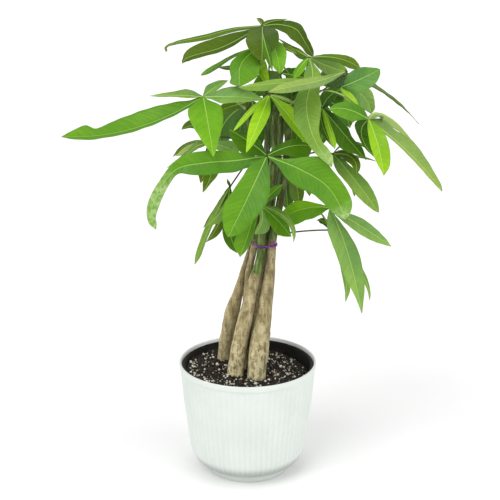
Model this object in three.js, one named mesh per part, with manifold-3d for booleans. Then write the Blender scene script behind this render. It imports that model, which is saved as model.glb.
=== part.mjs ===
// Potted money tree, in millimetres with +Z up and the origin under the pot's axis.
// Five trunks stand in the soil of a black nursery pot, inside a white fluted cover pot.
// A tie holds them together above the bark, and every hand-shaped frond is one node.

import * as THREE from "three";
import { mergeVertices } from "three/addons/utils/BufferGeometryUtils.js";
import Module from "manifold-3d";

const wasm = await Module();
wasm.setup();

// ---------------------------------------------------------------- driving sizes

const GAP = 0.3; // clear space kept between neighbouring pieces

const COVER_FLUTES = 68;
const FLUTE_DEPTH = 0.7;
const COVER_HEIGHT = 138.8;
const COVER_RIM_R = 82.9;
const COVER_FOOT_R = 48.8;

const NURSERY_SIDES = 48;
const NURSERY_RIM_R = 79.2;
const NURSERY_TOP = 135.2;
const DRAIN_HOLES = 6;
const DRAIN_HOLE_R = 5;
const DRAIN_RING_R = 33;

const SOIL_SIDES = 48;
const SOIL_TOP = 126; // over the axis; the bed falls from the left to the right
const SOIL_SLOPE = 0.04;
const SOIL_BUMP = 1.3;
const CRUMBS = 16;
const CRUMB_SEED = 11;

const TRUNK_SIDES = 10;
const PETIOLE_SIDES = 4;
const PETIOLE_R = 1.3;
const HUB_R = 2.6;

const LEAF_STEP = 28; // about one section of a blade per this length
const BLADE_EDGE = 0.8; // blade thickness at the margin
const BLADE_RIB = 1.3; // blade thickness over the midrib
const BLADE_ROOT = 0.8; // half width where a leaflet leaves its hub
const BLADE_TIP = 0.4; // half width at a leaflet's tip
const BLADE_KEEL = 0.22; // how far the margins stand above the midrib, per half width
const BLADE_WAVE = 1.1; // height of the waves along a wide blade's margin

const TIE_HEIGHT = 3.2;
const TIE_THICK = 1.2;
const TIE_KNOT = [28.5, 286.4, -10]; // x, z, y, like the trunks' rows below
const TIE_KNOT_R = 2.4;
const TIE_ENDS = [[[30.5, 288, -11], [33, 290.5, -11]], [[30.5, 283, -11], [33, 280, -11]]];

// ---------------------------------------------------------------- where things stand

// Places on the plant are given on the upright plane through the pot's axis, as the
// eye below sees them, and are then moved along the line of sight to their depth y
// (negative is nearer to the eye).
const EYE = new THREE.Vector3(0, -1500, 759);

function seen(x, z, y) {
  const onPlane = new THREE.Vector3(x, 0, z);
  return onPlane.sub(EYE).multiplyScalar(1 + y / -EYE.y).add(EYE);
}

// Trunk and green stem in one: rows of x, z, y and radius, from the root end up.
const TRUNKS = {
  trunk_left: [
    [-29, 110, 33, 8.5], [-28.5, 138, 32, 8.2], [-27, 160, 30, 8.0], [-22.5, 180, 28, 8.7],
    [-18.7, 200, 25, 8.9], [-13, 220, 22, 7.0], [-7.2, 240, 19, 5.2], [-2.4, 258, 17, 4.8],
    [2.6, 274, 16, 4.5], [4.8, 286, 15.5, 4.4], [6, 310, 18, 4.2], [7, 345, 24, 4.0],
    [5, 385, 31, 3.7], [2, 430, 37, 3.2], [0, 468, 39, 2.5],
  ],
  trunk_front: [
    [-16, 95, -14, 9.5], [-15, 122, -14, 9.6], [-11, 150, -14, 9.7], [-7, 170, -13, 9.8],
    [-3, 190, -13, 9.4], [3.5, 220, -12, 7.6], [8, 240, -11, 6.9], [12.5, 257, -10, 5.5],
    [15.5, 275, -9, 4.7], [16, 286, -8.5, 4.4], [18, 312, -9, 4.4], [24, 340, -10, 4.5],
    [30, 370, -12, 4.6], [31.8, 410, -11, 4.2], [32.5, 450, -8, 3.2],
  ],
  trunk_right: [
    [10, 95, -20, 10.7], [11.2, 125, -20, 10.9], [13.2, 150, -19, 12.0], [15.2, 170, -17, 10.9],
    [20, 200, -13, 9.0], [21.7, 220, -11, 8.3], [24.3, 240, -8, 7.4], [26.3, 260, -5, 6.2],
    [28, 275, -3, 5.3], [28.6, 286, -2, 4.9], [33, 312, -1, 4.5], [39, 345, -2, 4.4],
    [44, 380, -2, 4.2], [47, 420, 2, 3.8], [50, 452, 6, 3.0],
  ],
  trunk_back: [
    [-3, 110, 14, 5.8], [-2.5, 150, 13, 5.5], [-1.5, 190, 11, 5.2], [-0.5, 225, 9, 4.8],
    [1.5, 250, 7.5, 4.4], [4.6, 268, 6.5, 4.2], [8.2, 286, 6, 4.2], [12.5, 312, 6, 4.1],
    [16, 345, 8, 4.0], [21, 385, 10, 3.8], [23, 425, 12, 3.4], [22, 470, 14, 2.6],
  ],
  trunk_inner: [
    [8.2, 108, 10, 5.0], [7.6, 150, 10, 4.9], [7.8, 185, 9, 4.8], [10.6, 215, 8, 4.5],
    [15.4, 240, 8, 4.2], [19, 258, 8, 4.0], [21.5, 274, 8, 3.8], [22.8, 286, 8, 3.7],
    [26, 312, 10, 3.6], [30, 345, 13, 3.5], [35, 385, 16, 3.3], [39, 425, 18, 3.0],
    [41, 462, 19, 2.4],
  ],
};

// One frond each. stalk: the petiole's foot on its stem and its middle; hub: where the
// leaflets meet. A leaf is its midrib's places after the hub (x, z, y each, the tip last),
// its form, and its turn in degrees (0 faces the eye, 90 faces up or out). The form is a
// list of share along the midrib and the half widths seen at its left and right hand when
// walking to the tip, or just the full width, followed then by where the leaf is broadest
// (over 1 is nearer the tip).
const FRONDS = {
  frond_crown: {
    stalk: [[22, 474, 14], [17, 510, 22]],
    hub: [16, 541.5, 5],
    leaves: [
      [[[-17, 537.8, 5], [-48, 529.5, 8], [-80, 522.8, 14], [-91, 518.2, 16], [-91.7, 512.5, 18]],
        [[0.1, 2.7, 1.4], [0.4, 3.6, 2.1], [0.8, 1.2, 1.2]], 50],
      [[[-28.7, 517.5, -30], [-69, 504.8, -40], [-74, 499.2, -41]],
        [[0.06, 2, 2.4], [0.25, 3.2, 10.4], [0.35, 3.9, 12.2], [0.45, 4.2, 12.2],
          [0.55, 4.3, 10.6], [0.68, 3.2, 4.6], [0.75, 2.2, 2.4]], 40],
      [[[16.5, 523.5, -38], [16, 501, -60]],
        [[0.15, 10.5, 12.5], [0.35, 17, 17], [0.55, 18, 18], [0.8, 11, 12], [0.93, 5, 5]], 5],
      [[[35, 543, -5], [54.2, 537.6, -10], [63.8, 524, -8], [74, 507, 0]],
        [[0.25, 4.2, 5.2], [0.5, 7.8, 12.2], [0.75, 4.6, 5.8], [0.9, 4.2, 4.6], [0.96, 2.8, 2.4]],
        30],
      [[[27, 546.3, 15], [44.5, 549, 35]], [[0.3, 3, 1.5], [0.6, 2, 2.2]], 30],
      [[[14.3, 546, 12], [10, 550, 22]], [[0.5, 1.5, 4]], 20],
      [[[19, 523.5, -58], [23.4, 507.8, -74], [28, 491, -84]],
        [[0.3, 0.8, 0.8], [0.42, 3.2, 2.6], [0.6, 3.8, 4.4], [0.8, 2.6, 3]], 15],
    ],
  },
  frond_under_crown: {
    stalk: [[22, 460, 9], [24, 490, -2]],
    hub: [25, 519.5, -15],
    leaves: [
      [[[3.7, 515, -18], [-18.7, 505.8, -14], [-41.3, 492.6, -8], [-53, 486, 0]],
        [[0.25, 2.2, 1.2], [0.4, 1, 1.8], [0.62, 3, 2.6], [0.75, 3.2, 3]], 45],
      [[[-3, 499, 2], [-34, 495.4, 12]], [[0.62, 2, 1], [0.8, 2.8, 2]], 40],
      [[[2.6, 510, -32], [-8.7, 494.3, -52], [-8.7, 472.8, -64]],
        [[0.15, 4, 2.4], [0.5, 17, 8.4], [0.66, 21.4, 11], [0.82, 22, 9.4], [0.94, 16, 9.5]], 20],
      [[[9.3, 503.5, -24], [14.9, 493.3, -40], [24, 473.8, -50]],
        [[0.15, 4, 3], [0.33, 7, 4], [0.6, 9, 5], [0.8, 6, 4.5], [0.93, 2.5, 2.5]], 20],
      [[[31.8, 512, -42], [36.5, 487.5, -54]],
        [[0.2, 8.5, 7.4], [0.45, 11, 10.2], [0.7, 9, 9], [0.9, 5.5, 5.5]], 30],
      [[[35, 503.3, -26], [48.2, 486.3, -30]], [[0.8, 1, 1]], 30],
      [[[39.6, 517.3, -20], [55.4, 510, -25]],
        [[0.3, 4, 1.8], [0.6, 4.2, 2], [0.85, 2.6, 1.2]], 30],
    ],
  },
  frond_upper_right: {
    stalk: [[50, 456, 5], [62, 480, 0]],
    hub: [69.5, 506, -20],
    leaves: [
      [[[54.2, 514.5, -12], [34.6, 527.4, 0]],
        [[0.1, 5, 1.5], [0.25, 6.2, 2.4], [0.4, 5.2, 3.2], [0.85, 1, 1]], 30],
      [[[59.9, 495.5, -30], [52, 480.9, -38]], [[0.6, 5.5, 4], [0.85, 3.4, 3.2]], 25],
      [[[73.4, 486.2, -50], [67, 451.8, -76], [74.4, 416.9, -104], [97, 379.3, -146]],
        [[0.1, 3, 3], [0.25, 9, 9], [0.38, 11, 9.5], [0.5, 16, 13], [0.62, 13.5, 14.5],
          [0.75, 7.6, 9.5], [0.84, 6, 7.4], [0.9, 7.4, 5.6], [0.96, 6, 2.6]], 8],
      [[[101.6, 505, -12], [127.5, 493.3, -4]],
        [[0.45, 4.4, 5], [0.7, 5.6, 6], [0.88, 4.4, 3.8]], 40],
      [[[92.6, 495.5, 5], [113.2, 489.9, 15]],
        [[0.3, 6.5, 8], [0.55, 9, 10.5], [0.8, 7, 7], [0.93, 4.2, 3]], 20],
    ],
  },
  frond_across: {
    stalk: [[49, 450, 6], [84, 468, 4]],
    hub: [111, 490, -28],
    leaves: [
      [[[83, 480, -66], [55, 474, -96], [23, 466.5, -112]],
        [[0.2, 3.6, 3.4], [0.5, 6.2, 5.6], [0.66, 6.6, 6.2], [0.85, 4.5, 4.5]], 40],
      [[[84, 480, -64], [36, 476.8, -94], [-11, 472, -102]],
        [[0.4, 3, 3.6], [0.66, 6, 4.8], [0.82, 6, 3], [0.93, 4, 1.6]], 40],
    ],
  },
  frond_shoulder: {
    stalk: [[54, 444, 7], [84, 456, 6]],
    hub: [105, 472, -38],
    leaves: [
      [[[127.2, 481.2, -42], [149.4, 492.6, -38]],
        [[0.15, 3.4, 4.5], [0.3, 10.8, 13], [0.5, 12.5, 13], [0.7, 10.2, 12], [0.88, 5.8, 7.4],
          [0.96, 3, 3.4]], 22],
      [[[112.7, 463.4, -58], [126.5, 451.3, -68]], [[0.6, 4.5, 4.5], [0.85, 3, 3]], 20],
      [[[129.6, 463.4, -18], [140.9, 441.6, -22]],
        [[0.2, 4, 5], [0.4, 9, 9], [0.6, 11, 11], [0.8, 7, 9], [0.94, 4, 4.4]], 20],
    ],
  },
  frond_far_right: {
    stalk: [[36, 440, -8], [88, 468.5, -60]],
    hub: [138, 435, -72],
    leaves: [
      [[[185.6, 395.8, -70], [225.8, 349.8, -66]],
        [[0.1, 8.6, 1], [0.25, 8.4, 2], [0.45, 12.4, 2.6], [0.85, 5.6, 2.4], [0.95, 3.6, 1.2]],
        35],
      [[[145.7, 441.8, -62], [168.3, 432.6, -50], [191.5, 405.8, -42]],
        [[0.08, 2.4, 5], [0.2, 2.2, 8], [0.6, 0.5, 7.4], [0.75, 0.7, 5.4]], 40],
      [[[149.9, 404, -96], [157.5, 369, -112]],
        [[0.15, 7, 4.5], [0.35, 10.6, 7], [0.55, 11.4, 8], [0.75, 9.8, 6], [0.9, 6.2, 2.5]], 15],
      [[[130.4, 416.5, -66], [147, 390, -72]],
        [[0.1, 4, 6], [0.2, 5.5, 8.5], [0.35, 7.5, 6], [0.5, 8, 3.6], [0.65, 7, 2.6]], 20],
      [[[114, 446.6, -84], [92.4, 446.6, -92]],
        [[0.1, 3, 5], [0.3, 8.5, 8], [0.5, 11, 8.4], [0.75, 9.6, 5.5], [0.9, 5, 2.5]], 25],
    ],
  },
  frond_left: {
    stalk: [[-3, 448, 34], [-28, 462, -10]],
    hub: [-50.5, 461, -55],
    leaves: [
      [[[-88.3, 440.2, -60], [-128.5, 425, -64], [-171, 416.3, -68], [-213.3, 414.5, -70]],
        [[0.08, 2.6, 4.2], [0.16, 3.2, 9.8], [0.3, 2.2, 14.2], [0.44, 2.3, 15.6],
          [0.585, 4, 14.8], [0.66, 4, 13], [0.725, 4, 9.4], [0.765, 3.8, 8.2], [0.83, 3.4, 11.8],
          [0.895, 2.4, 9]], 50],
      [[[-81.4, 462.9, -50], [-110.9, 462.3, -44]],
        [[0.2, 1.9, 5.8], [0.35, 2.2, 7], [0.7, 1.6, 2.8]], 40],
      [[[-39.4, 470.7, -42], [-22.3, 479.9, -30]],
        [[0.4, 6.2, 3.8], [0.6, 6.2, 4], [0.8, 4.4, 2.4]], 35],
      [[[-44.8, 427.4, -92], [-39.3, 391, -126]],
        [[0.1, 7.5, 8], [0.2, 15.6, 17], [0.33, 17.8, 19.5], [0.5, 16, 17.4]], 8],
      [[[-14.4, 461, -60], [18.5, 458.2, -58]],
        [[0.15, 4.6, 3], [0.3, 9.6, 7.6], [0.5, 11.6, 5.8], [0.7, 9.6, 4.4], [0.88, 4.4, 2.6]],
        35],
    ],
  },
  frond_young: {
    stalk: [[33, 452, -13], [30, 466, -45]],
    hub: [24.5, 463.5, -78],
    leaves: [
      [[[3.8, 444.8, -90], [-16.3, 421.5, -100]], [[0.5, 2.9, 2.9], [0.8, 2.6, 2.2]], 25],
      [[[13.5, 434.4, -102], [-1.9, 395.7, -128]],
        [[0.35, 7.8, 7.5], [0.55, 7.8, 8.8], [0.75, 5.2, 6.5], [0.9, 3, 3]], 12],
      [[[48, 437.9, -53], [73.9, 400.4, -50]],
        [[0.2, 4, 3.2], [0.4, 9, 5.8], [0.6, 10, 6.4], [0.8, 7, 4.5]], 15],
      [[[40.2, 459.3, -72], [55, 452.5, -64]], [[0.6, 2, 2]], 35],
    ],
  },
  frond_front: {
    stalk: [[31, 446, -14], [24, 426, -56]],
    hub: [22.2, 392.2, -108],
    leaves: [
      [[[0.3, 343.3, -128], [-23, 294, -140]],
        [[0.07, 4, 6], [0.14, 8.5, 11], [0.33, 17.5, 14.4], [0.5, 20.5, 17], [0.7, 16.3, 19.5],
          [0.87, 10, 12.4], [0.95, 5.5, 6.8]], 8],
      [[[60.5, 376.3, -120], [93.4, 354.7, -130], [116.2, 315.4, -138]],
        [[0.12, 2.5, 5], [0.22, 7, 12.5], [0.33, 15, 17], [0.47, 21.6, 17.4], [0.6, 16.4, 15.8],
          [0.72, 15.2, 15.2], [0.82, 14.8, 12.6], [0.88, 13.4, 10.6], [0.94, 9, 6]], 12],
      [[[-13.5, 386.9, -110], [-49.1, 384, -112], [-82.5, 376.2, -112], [-106, 345.7, -108],
        [-113.2, 319.5, -106], [-107.5, 304, -104]],
        [[0.08, 4, 2.4], [0.167, 11.6, 9.8], [0.333, 13.2, 13], [0.42, 10.6, 12.4],
          [0.5, 5.2, 7.4], [0.58, 6, 4.8], [0.75, 7, 5.2], [0.93, 3.8, 3.4]], 14],
      [[[3.8, 407.5, -98], [-21, 423.2, -90]],
        [[0.15, 7, 3], [0.3, 12, 6.5], [0.5, 14, 9], [0.75, 11, 6], [0.9, 6, 2.5]], 25],
      [[[49.2, 403.5, -96], [75, 403.5, -90]],
        [[0.15, 3, 4], [0.3, 5.5, 8.4], [0.5, 7, 12], [0.75, 5, 14.6], [0.9, 2, 10.4]], 30],
      [[[2.6, 382.8, -84], [-18.1, 376.4, -66]], [[0.3, 5, 5], [0.6, 3, 7], [0.85, 2, 3]], 20],
      [[[9.7, 330.1, -114], [-9, 270.2, -124]],
        [[0.5, 3.5, 8.6], [0.65, 4.5, 13], [0.8, 5.5, 11.8], [0.92, 4, 10]], 10],
    ],
  },
  frond_low_right: {
    stalk: [[36, 318, -6], [66, 330, -44]],
    hub: [95.5, 330, -72],
    leaves: [
      [[[117.7, 274.8, -82], [136.3, 199, -86]],
        [[0.1, 1.6, 7.6], [0.2, 4.2, 12], [0.35, 8.8, 13.4], [0.5, 12, 12.4], [0.65, 11.4, 10.8],
          [0.8, 9.4, 6]], 18],
      [[[132.6, 307.5, -82], [168.6, 283, -84]],
        [[0.3, 6.4, 6.4], [0.45, 8, 7.2], [0.6, 7.6, 7.6], [0.75, 6.5, 6.6]], 30],
      [[[68, 329.5, -60], [38, 318, -46]],
        [[0.15, 8, 2.4], [0.3, 12.6, 4.6], [0.5, 13, 8.6], [0.7, 14, 10.4], [0.85, 12, 8],
          [0.95, 6, 4]], 22],
    ],
  },
  frond_low_right_back: {
    stalk: [[36, 298, 0], [68, 302, -14]],
    hub: [97, 303, -28],
    leaves: [
      [[[113.8, 254, -34], [116.6, 214, -32]], [[0.3, 4, 3], [0.5, 5, 3.5], [0.85, 4, 1.5]], 25],
      [[[134, 252, -14], [145.2, 216, -10]], [[0.4, 3, 3], [0.6, 3, 3]], 30],
      [[[88.5, 313.6, -24], [80.8, 314.8, -20]], [[0.35, 3, 4.5], [0.6, 3.5, 3.5]], 30],
      [[[88, 320.3, -26], [82.2, 323.3, -22]], [[0.5, 1, 1]], 20],
    ],
  },
  frond_mid_right: {
    stalk: [[47, 384, -6], [75, 396, -24]],
    hub: [98.3, 394.5, -34],
    leaves: [
      [[[126.8, 360.1, -52], [152.7, 324.5, -56]],
        [[0.08, 3.4, 5], [0.25, 6, 9.4], [0.4, 8.5, 9.4], [0.55, 9.6, 9], [0.7, 8.8, 7.8],
          [0.85, 6.8, 5.4], [0.95, 3.6, 2.6]], 26],
      [[[112, 393.4, -38], [128.2, 388.7, -34]],
        [[0.25, 4.6, 1.5], [0.5, 5, 4], [0.75, 4, 3]], 25],
      [[[120.2, 390, -54], [125.8, 370.2, -60]],
        [[0.4, 3, 6.5], [0.6, 5, 7], [0.75, 5, 5], [0.9, 3, 2.4]], 20],
      [[[117.6, 408, -28], [143, 398, -20]], [[0.6, 1.5, 1.5]], 40],
      [[[127, 391.6, -24], [148, 385.8, -16]], [[0.5, 1.2, 1.2]], 40],
      [[[117, 364, -40], [124, 344, -44]], [[0.4, 2.2, 1], [0.8, 2.4, 1.2]], 20],
    ],
  },
  frond_right_inner: {
    stalk: [[51, 444, 4], [68, 449, -18]],
    hub: [84.7, 448.3, -36],
    leaves: [
      [[[109.3, 419.2, -56], [136.4, 387.5, -66]],
        [[0.2, 6, 5], [0.5, 8, 11.6], [0.6, 5, 12.5], [0.7, 4.4, 11.5], [0.82, 6, 6],
          [0.93, 3.4, 1.5]], 22],
      [[[92.5, 428, -66], [100.2, 400.5, -82]],
        [[0.3, 2.5, 3], [0.5, 2.4, 4], [0.75, 3.4, 3.4], [0.9, 3, 2.6]], 15],
      [[[85, 429.8, -56], [98, 403, -62]], [[0.3, 8, 5], [0.55, 11, 6], [0.8, 8.6, 3]], 20],
      [[[93.3, 462, -48], [106, 469.5, -60]], [[0.2, 7, 5], [0.4, 9, 6], [0.6, 8, 7]], 20],
    ],
  },
  frond_low_left: {
    stalk: [[4, 392, 32], [-8.5, 373.5, 12]],
    hub: [-20.5, 355.5, 0],
    leaves: [
      [[[-33.3, 332.5, 8], [-51.8, 306.2, 16]],
        [[0.1, 1.4, 2.6], [0.5, 3.5, 3.4], [0.8, 2.5, 2.8]], 40],
      [[[-25.8, 335, 0], [-38.2, 313, 4]], [[0.6, 4.5, 4]], 30],
      [[[-28.7, 330, -14], [-49.3, 307.4, -24]],
        [[0.25, 2, 1.5], [0.45, 5, 2], [0.6, 9, 2.5], [0.75, 8, 2.5]], 20],
      [[[-43.5, 309.3, -4], [-62.6, 260.6, -10]],
        [[0.3, 2, 4], [0.7, 3, 4.4], [0.9, 3, 2.8]], 35],
      [[[-32, 315, -8], [-48.8, 288.5, -14]],
        [[0.4, 3.5, 3.2], [0.6, 6.7, 3.2], [0.8, 4.8, 2.4]], 20],
      [[[-23, 313, -30], [-12.6, 275, -50]],
        [[0.12, 5, 2], [0.3, 8, 3.5], [0.5, 10, 5.2], [0.7, 9, 8.6], [0.88, 4.6, 6]], 15],
      [[[-22, 360, 6], [-24, 365, 8]], [[0.5, 1.7, 1.7]], 20],
    ],
  },
  frond_low_front: {
    stalk: [[18, 322, -13], [15, 333, -34]],
    hub: [15.5, 332.3, -55],
    leaves: [
      [[[33.2, 316.7, -66], [51, 295, -76]],
        [[0.15, 5, 3], [0.35, 11, 7.5], [0.55, 11, 9.5], [0.75, 7, 10.5], [0.9, 3, 7.4]], 12],
      [[[16.7, 313, -60], [8, 298.2, -66]], [[0.3, 5, 3], [0.55, 10, 3], [0.75, 9, 3]], 20],
      [[[46, 316, -80], [54, 288, -80]], 10, 45, 1],
      [[[28.2, 347.5, -50], [40.4, 358.4, -46]], [[0.5, 6, 6.5], [0.75, 3.5, 4.5]], 25],
    ],
  },
  frond_mid_left: {
    stalk: [[1, 398, 31], [-22, 414, 20]],
    hub: [-45.5, 407.5, 4],
    leaves: [
      [[[-55, 410, 10], [-71.5, 405, 14], [-86, 391.5, 16]],
        [[0.33, 0.6, 1], [0.66, 2.4, 2], [0.85, 2, 2]], 40],
      [[[-57.1, 404.5, 2], [-68.7, 395.7, 0], [-93, 378.1, -4]],
        [[0.2, 3, 4.6], [0.4, 3, 4.6]], 35],
      [[[-61.7, 402.7, 8], [-82.5, 392.2, 10]],
        [[0.3, 3, 3.6], [0.6, 4.5, 4.6], [0.85, 3, 3]], 25],
      [[[-57.9, 426.3, 16], [-75.6, 423.4, 24]],
        [[0.3, 3, 5.5], [0.5, 3, 8], [0.75, 2.5, 7], [0.9, 1.6, 4]], 30],
      [[[-29.5, 404, -30], [-9, 394, -34]],
        [[0.2, 2.5, 2], [0.5, 7, 6], [0.75, 9, 5], [0.9, 5, 2.5]], 20],
      [[[-47.5, 384, -10], [-54.5, 360, -16]], [[0.6, 4.2, 7], [0.8, 3.4, 6.4]], 20],
      [[[-41, 378, -22], [-52, 348.8, -28]],
        [[0.35, 8, 5.4], [0.6, 7.6, 8.4], [0.8, 3, 6.8], [0.92, 1.4, 3.6]], 20],
    ],
  },
  frond_far_back: {
    stalk: [[52, 456, 10], [84, 476, 26]],
    hub: [112, 488, 40],
    leaves: [
      [[[158.2, 464.5, 46], [195.6, 429.6, 52]], [[0.15, 4, 3], [0.45, 1.9, 2.4]], 60],
      [[[122, 460, 66], [119, 431, 80]], 30, 10, 1.1],
      [[[96, 485, 80], [78, 482, 112]], 28, 10, 1],
      [[[108, 470, 84], [102, 448, 116]], 26, 10, 1],
    ],
  },
  frond_back_top: {
    stalk: [[21, 474, 17], [30, 484, 44]],
    hub: [38, 488, 72],
    leaves: [
      [[[22, 478, 96], [4, 461, 112]], 26, 10, 1.1],
      [[[31, 458, 112], [25, 398, 142]], 30, 10, 1.1],
      [[[50, 470, 110], [44, 404, 140]], 34, 10, 1.1],
      [[[60, 484, 92], [80, 476, 104]], 20, 25, 1],
    ],
  },
  frond_back_left: {
    stalk: [[1, 446, 43], [2, 454, 52]],
    hub: [5, 456.5, 62],
    leaves: [
      [[[-13.3, 451.8, 54], [-36, 443.7, 46]], [[0.45, 5, 6], [0.7, 5.5, 7], [0.9, 4, 4]], 20],
      [[[-27, 430, 112], [-29, 398, 132]], 32, 10, 1.1],
      [[[-8, 430, 118], [-6, 396, 142]], 28, 10, 1.1],
      [[[8, 436, 102], [12, 394, 122]], 30, 10, 1.1],
    ],
  },
  frond_back_middle: {
    stalk: [[36, 388, 20], [38, 396, 44]],
    hub: [42, 392, 76],
    leaves: [
      [[[18, 376, 100], [2, 350, 118]], 28, 10, 1.1],
      [[[44, 362, 112], [47, 326, 134]], 30, 8, 1.1],
      [[[54.8, 363.7, 106], [60, 331, 124]],
        [[0.2, 6, 6], [0.5, 8, 9], [0.75, 8, 10], [0.9, 4, 5]], 8],
      [[[64, 374, 96], [72, 344, 112]], 25, 15, 1],
    ],
  },
  frond_back_right: {
    stalk: [[48, 424, 6], [66, 446, 34]],
    hub: [84, 458, 62],
    leaves: [
      [[[64, 434, 96], [54, 402, 120]], 30, 10, 1.1],
      [[[86, 432, 98], [84, 404, 122]], 26, 10, 1.1],
      [[[106, 447, 84], [117, 425, 100]], 24, 15, 1.1],
      [[[66, 460, 86], [50, 446, 104]], 22, 15, 1],
    ],
  },
  frond_back_low: {
    stalk: [[6, 330, 27], [2, 344, 44]],
    hub: [-4, 346, 64],
    leaves: [
      [[[-14, 330, 78], [-22, 310, 88]], 20, 20, 1],
      [[[0, 322, 90], [-2, 298, 102]], 24, 10, 1.1],
      [[[14, 328, 88], [20, 304, 104]], 22, 10, 1.1],
    ],
  },
};

const COLOURS = {
  frond_young: 0x8fc22c,
  frond_far_right: 0x86ba36,
  frond_crown: 0x54792a,
  frond_shoulder: 0x5f9640,
};
const LEAF_COLOUR = 0x5c9427;

// ---------------------------------------------------------------- closed solids

// The band of triangles between two rings of equal count, or of twice or half the count.
function stitch(triangles, ringA, ringB) {
  const a = ringA.length;
  const b = ringB.length;
  if (a === b) {
    for (let i = 0; i < a; i++) {
      const j = (i + 1) % a;
      triangles.push([ringA[i], ringA[j], ringB[j]], [ringA[i], ringB[j], ringB[i]]);
    }
  } else if (b === 2 * a) {
    for (let i = 0; i < a; i++) {
      const j = (i + 1) % a;
      const k = 2 * i;
      triangles.push([ringA[i], ringB[k + 1], ringB[k]]);
      triangles.push([ringA[i], ringA[j], ringB[k + 1]]);
      triangles.push([ringA[j], ringB[(k + 2) % b], ringB[k + 1]]);
    }
  } else if (a === 2 * b) {
    for (let i = 0; i < b; i++) {
      const j = (i + 1) % b;
      const k = 2 * i;
      triangles.push([ringB[i], ringA[k], ringA[k + 1]]);
      triangles.push([ringB[i], ringA[k + 1], ringB[j]]);
      triangles.push([ringB[j], ringA[k + 1], ringA[(k + 2) % a]]);
    }
  }
}

// A closed surface through rings of points, ended by a fan on a middle point each.
function ringSolid(rings, firstPole, lastPole) {
  const triangles = [];
  const first = rings[0];
  const last = rings[rings.length - 1];
  first.forEach((p, i) => triangles.push([firstPole, first[(i + 1) % first.length], p]));
  for (let i = 0; i + 1 < rings.length; i++) stitch(triangles, rings[i], rings[i + 1]);
  last.forEach((p, i) => triangles.push([lastPole, p, last[(i + 1) % last.length]]));
  return closedGeometry(triangles);
}

function closedGeometry(triangles) {
  const geometry = new THREE.BufferGeometry();
  geometry.setFromPoints(triangles.flat());
  return geometry;
}

function solid(geometry) {
  const bare = geometry.index ? geometry.toNonIndexed() : geometry.clone();
  bare.deleteAttribute("normal");
  bare.deleteAttribute("uv");
  const merged = mergeVertices(bare, 1e-4);
  const triVerts = new Uint32Array(merged.index.array);
  const vertProperties = merged.attributes.position.array;
  const made = new wasm.Manifold(new wasm.Mesh({ numProp: 3, vertProperties, triVerts }));
  if (made.volume() > 0) return made;
  for (let i = 0; i < triVerts.length; i += 3) {
    [triVerts[i + 1], triVerts[i + 2]] = [triVerts[i + 2], triVerts[i + 1]];
  }
  return new wasm.Manifold(new wasm.Mesh({ numProp: 3, vertProperties, triVerts }));
}

function fused(solids) {
  return solids.reduce((whole, piece) => whole.add(piece));
}

function seededDraws(seed) {
  let state = seed;
  return () => {
    state = (state * 1664525 + 1013904223) % 4294967296;
    return state / 4294967296;
  };
}

// A round limb along a curve, with its own radius at each point.
function limb(points, radii, sides) {
  const curve = new THREE.CatmullRomCurve3(points, false, "centripetal");
  const across = new THREE.Vector3(1, 0, 0);
  const rings = points.map((p, i) => {
    const along = curve.getTangent(i / (points.length - 1));
    if (Math.abs(along.x) > 0.9) across.set(0, 0, 1);
    else if (Math.abs(along.z) > 0.5) across.set(1, 0, 0);
    const u = across.clone().addScaledVector(along, -across.dot(along)).normalize();
    const v = new THREE.Vector3().crossVectors(along, u);
    return ringAround(p, u, v, radii[i], sides);
  });
  return solid(ringSolid(rings, points[0], points[points.length - 1]));
}

function ringAround(centre, u, v, radius, sides) {
  const ring = [];
  for (let k = 0; k < sides; k++) {
    const angle = (2 * Math.PI * k) / sides;
    const p = centre.clone().addScaledVector(u, radius * Math.cos(angle));
    ring.push(p.addScaledVector(v, radius * Math.sin(angle)));
  }
  return ring;
}

// ---------------------------------------------------------------- pots and soil

function level(radius, z, sides, groove = 0) {
  const ring = [];
  for (let k = 0; k < sides; k++) {
    const angle = (2 * Math.PI * k) / sides;
    const r = radius - (k % 2 ? groove : 0);
    ring.push(new THREE.Vector3(r * Math.cos(angle), r * Math.sin(angle), z));
  }
  return ring;
}

function coverPot() {
  const plain = COVER_FLUTES;
  const fine = 2 * COVER_FLUTES;
  const coarse = COVER_FLUTES / 2;
  const rings = [
    level(COVER_FOOT_R, 0, coarse),
    level(49.2, 6.8, coarse),
    level(50.5, 8, coarse),
    level(54, 9.2, plain),
    level(60.5, 13.5, plain),
    level(66.2, 20.5, fine, FLUTE_DEPTH),
    level(69.9, 30, fine, FLUTE_DEPTH),
    level(72.9, 53, fine, FLUTE_DEPTH),
    level(78.1, 92, fine, FLUTE_DEPTH),
    level(81.2, 130, fine, FLUTE_DEPTH),
    level(81.4, 131.2, plain),
    level(82.5, 132.2, plain),
    level(COVER_RIM_R, COVER_HEIGHT - 1, plain),
    level(COVER_RIM_R - 0.8, COVER_HEIGHT, plain),
    level(80.3, COVER_HEIGHT, plain),
    level(79.9, 132, plain),
    level(77.8, 131, plain),
    level(74.5, 85, coarse),
    level(70.2, 53, coarse),
    level(67.2, 32, coarse),
    level(63, 20.3, coarse),
    level(55.5, 13.2, coarse),
    level(50, 11.2, coarse),
    level(45.5, 10.8, coarse),
    level(44.5, 3, coarse),
  ];
  return solid(ringSolid(rings, new THREE.Vector3(0, 0, 0), new THREE.Vector3(0, 0, 3)));
}

// The nursery pot's inner wall, which the soil follows.
const WALL_FOOT = [53.6, 15.9];
const WALL_TOP = [75.1, 133];

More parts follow.
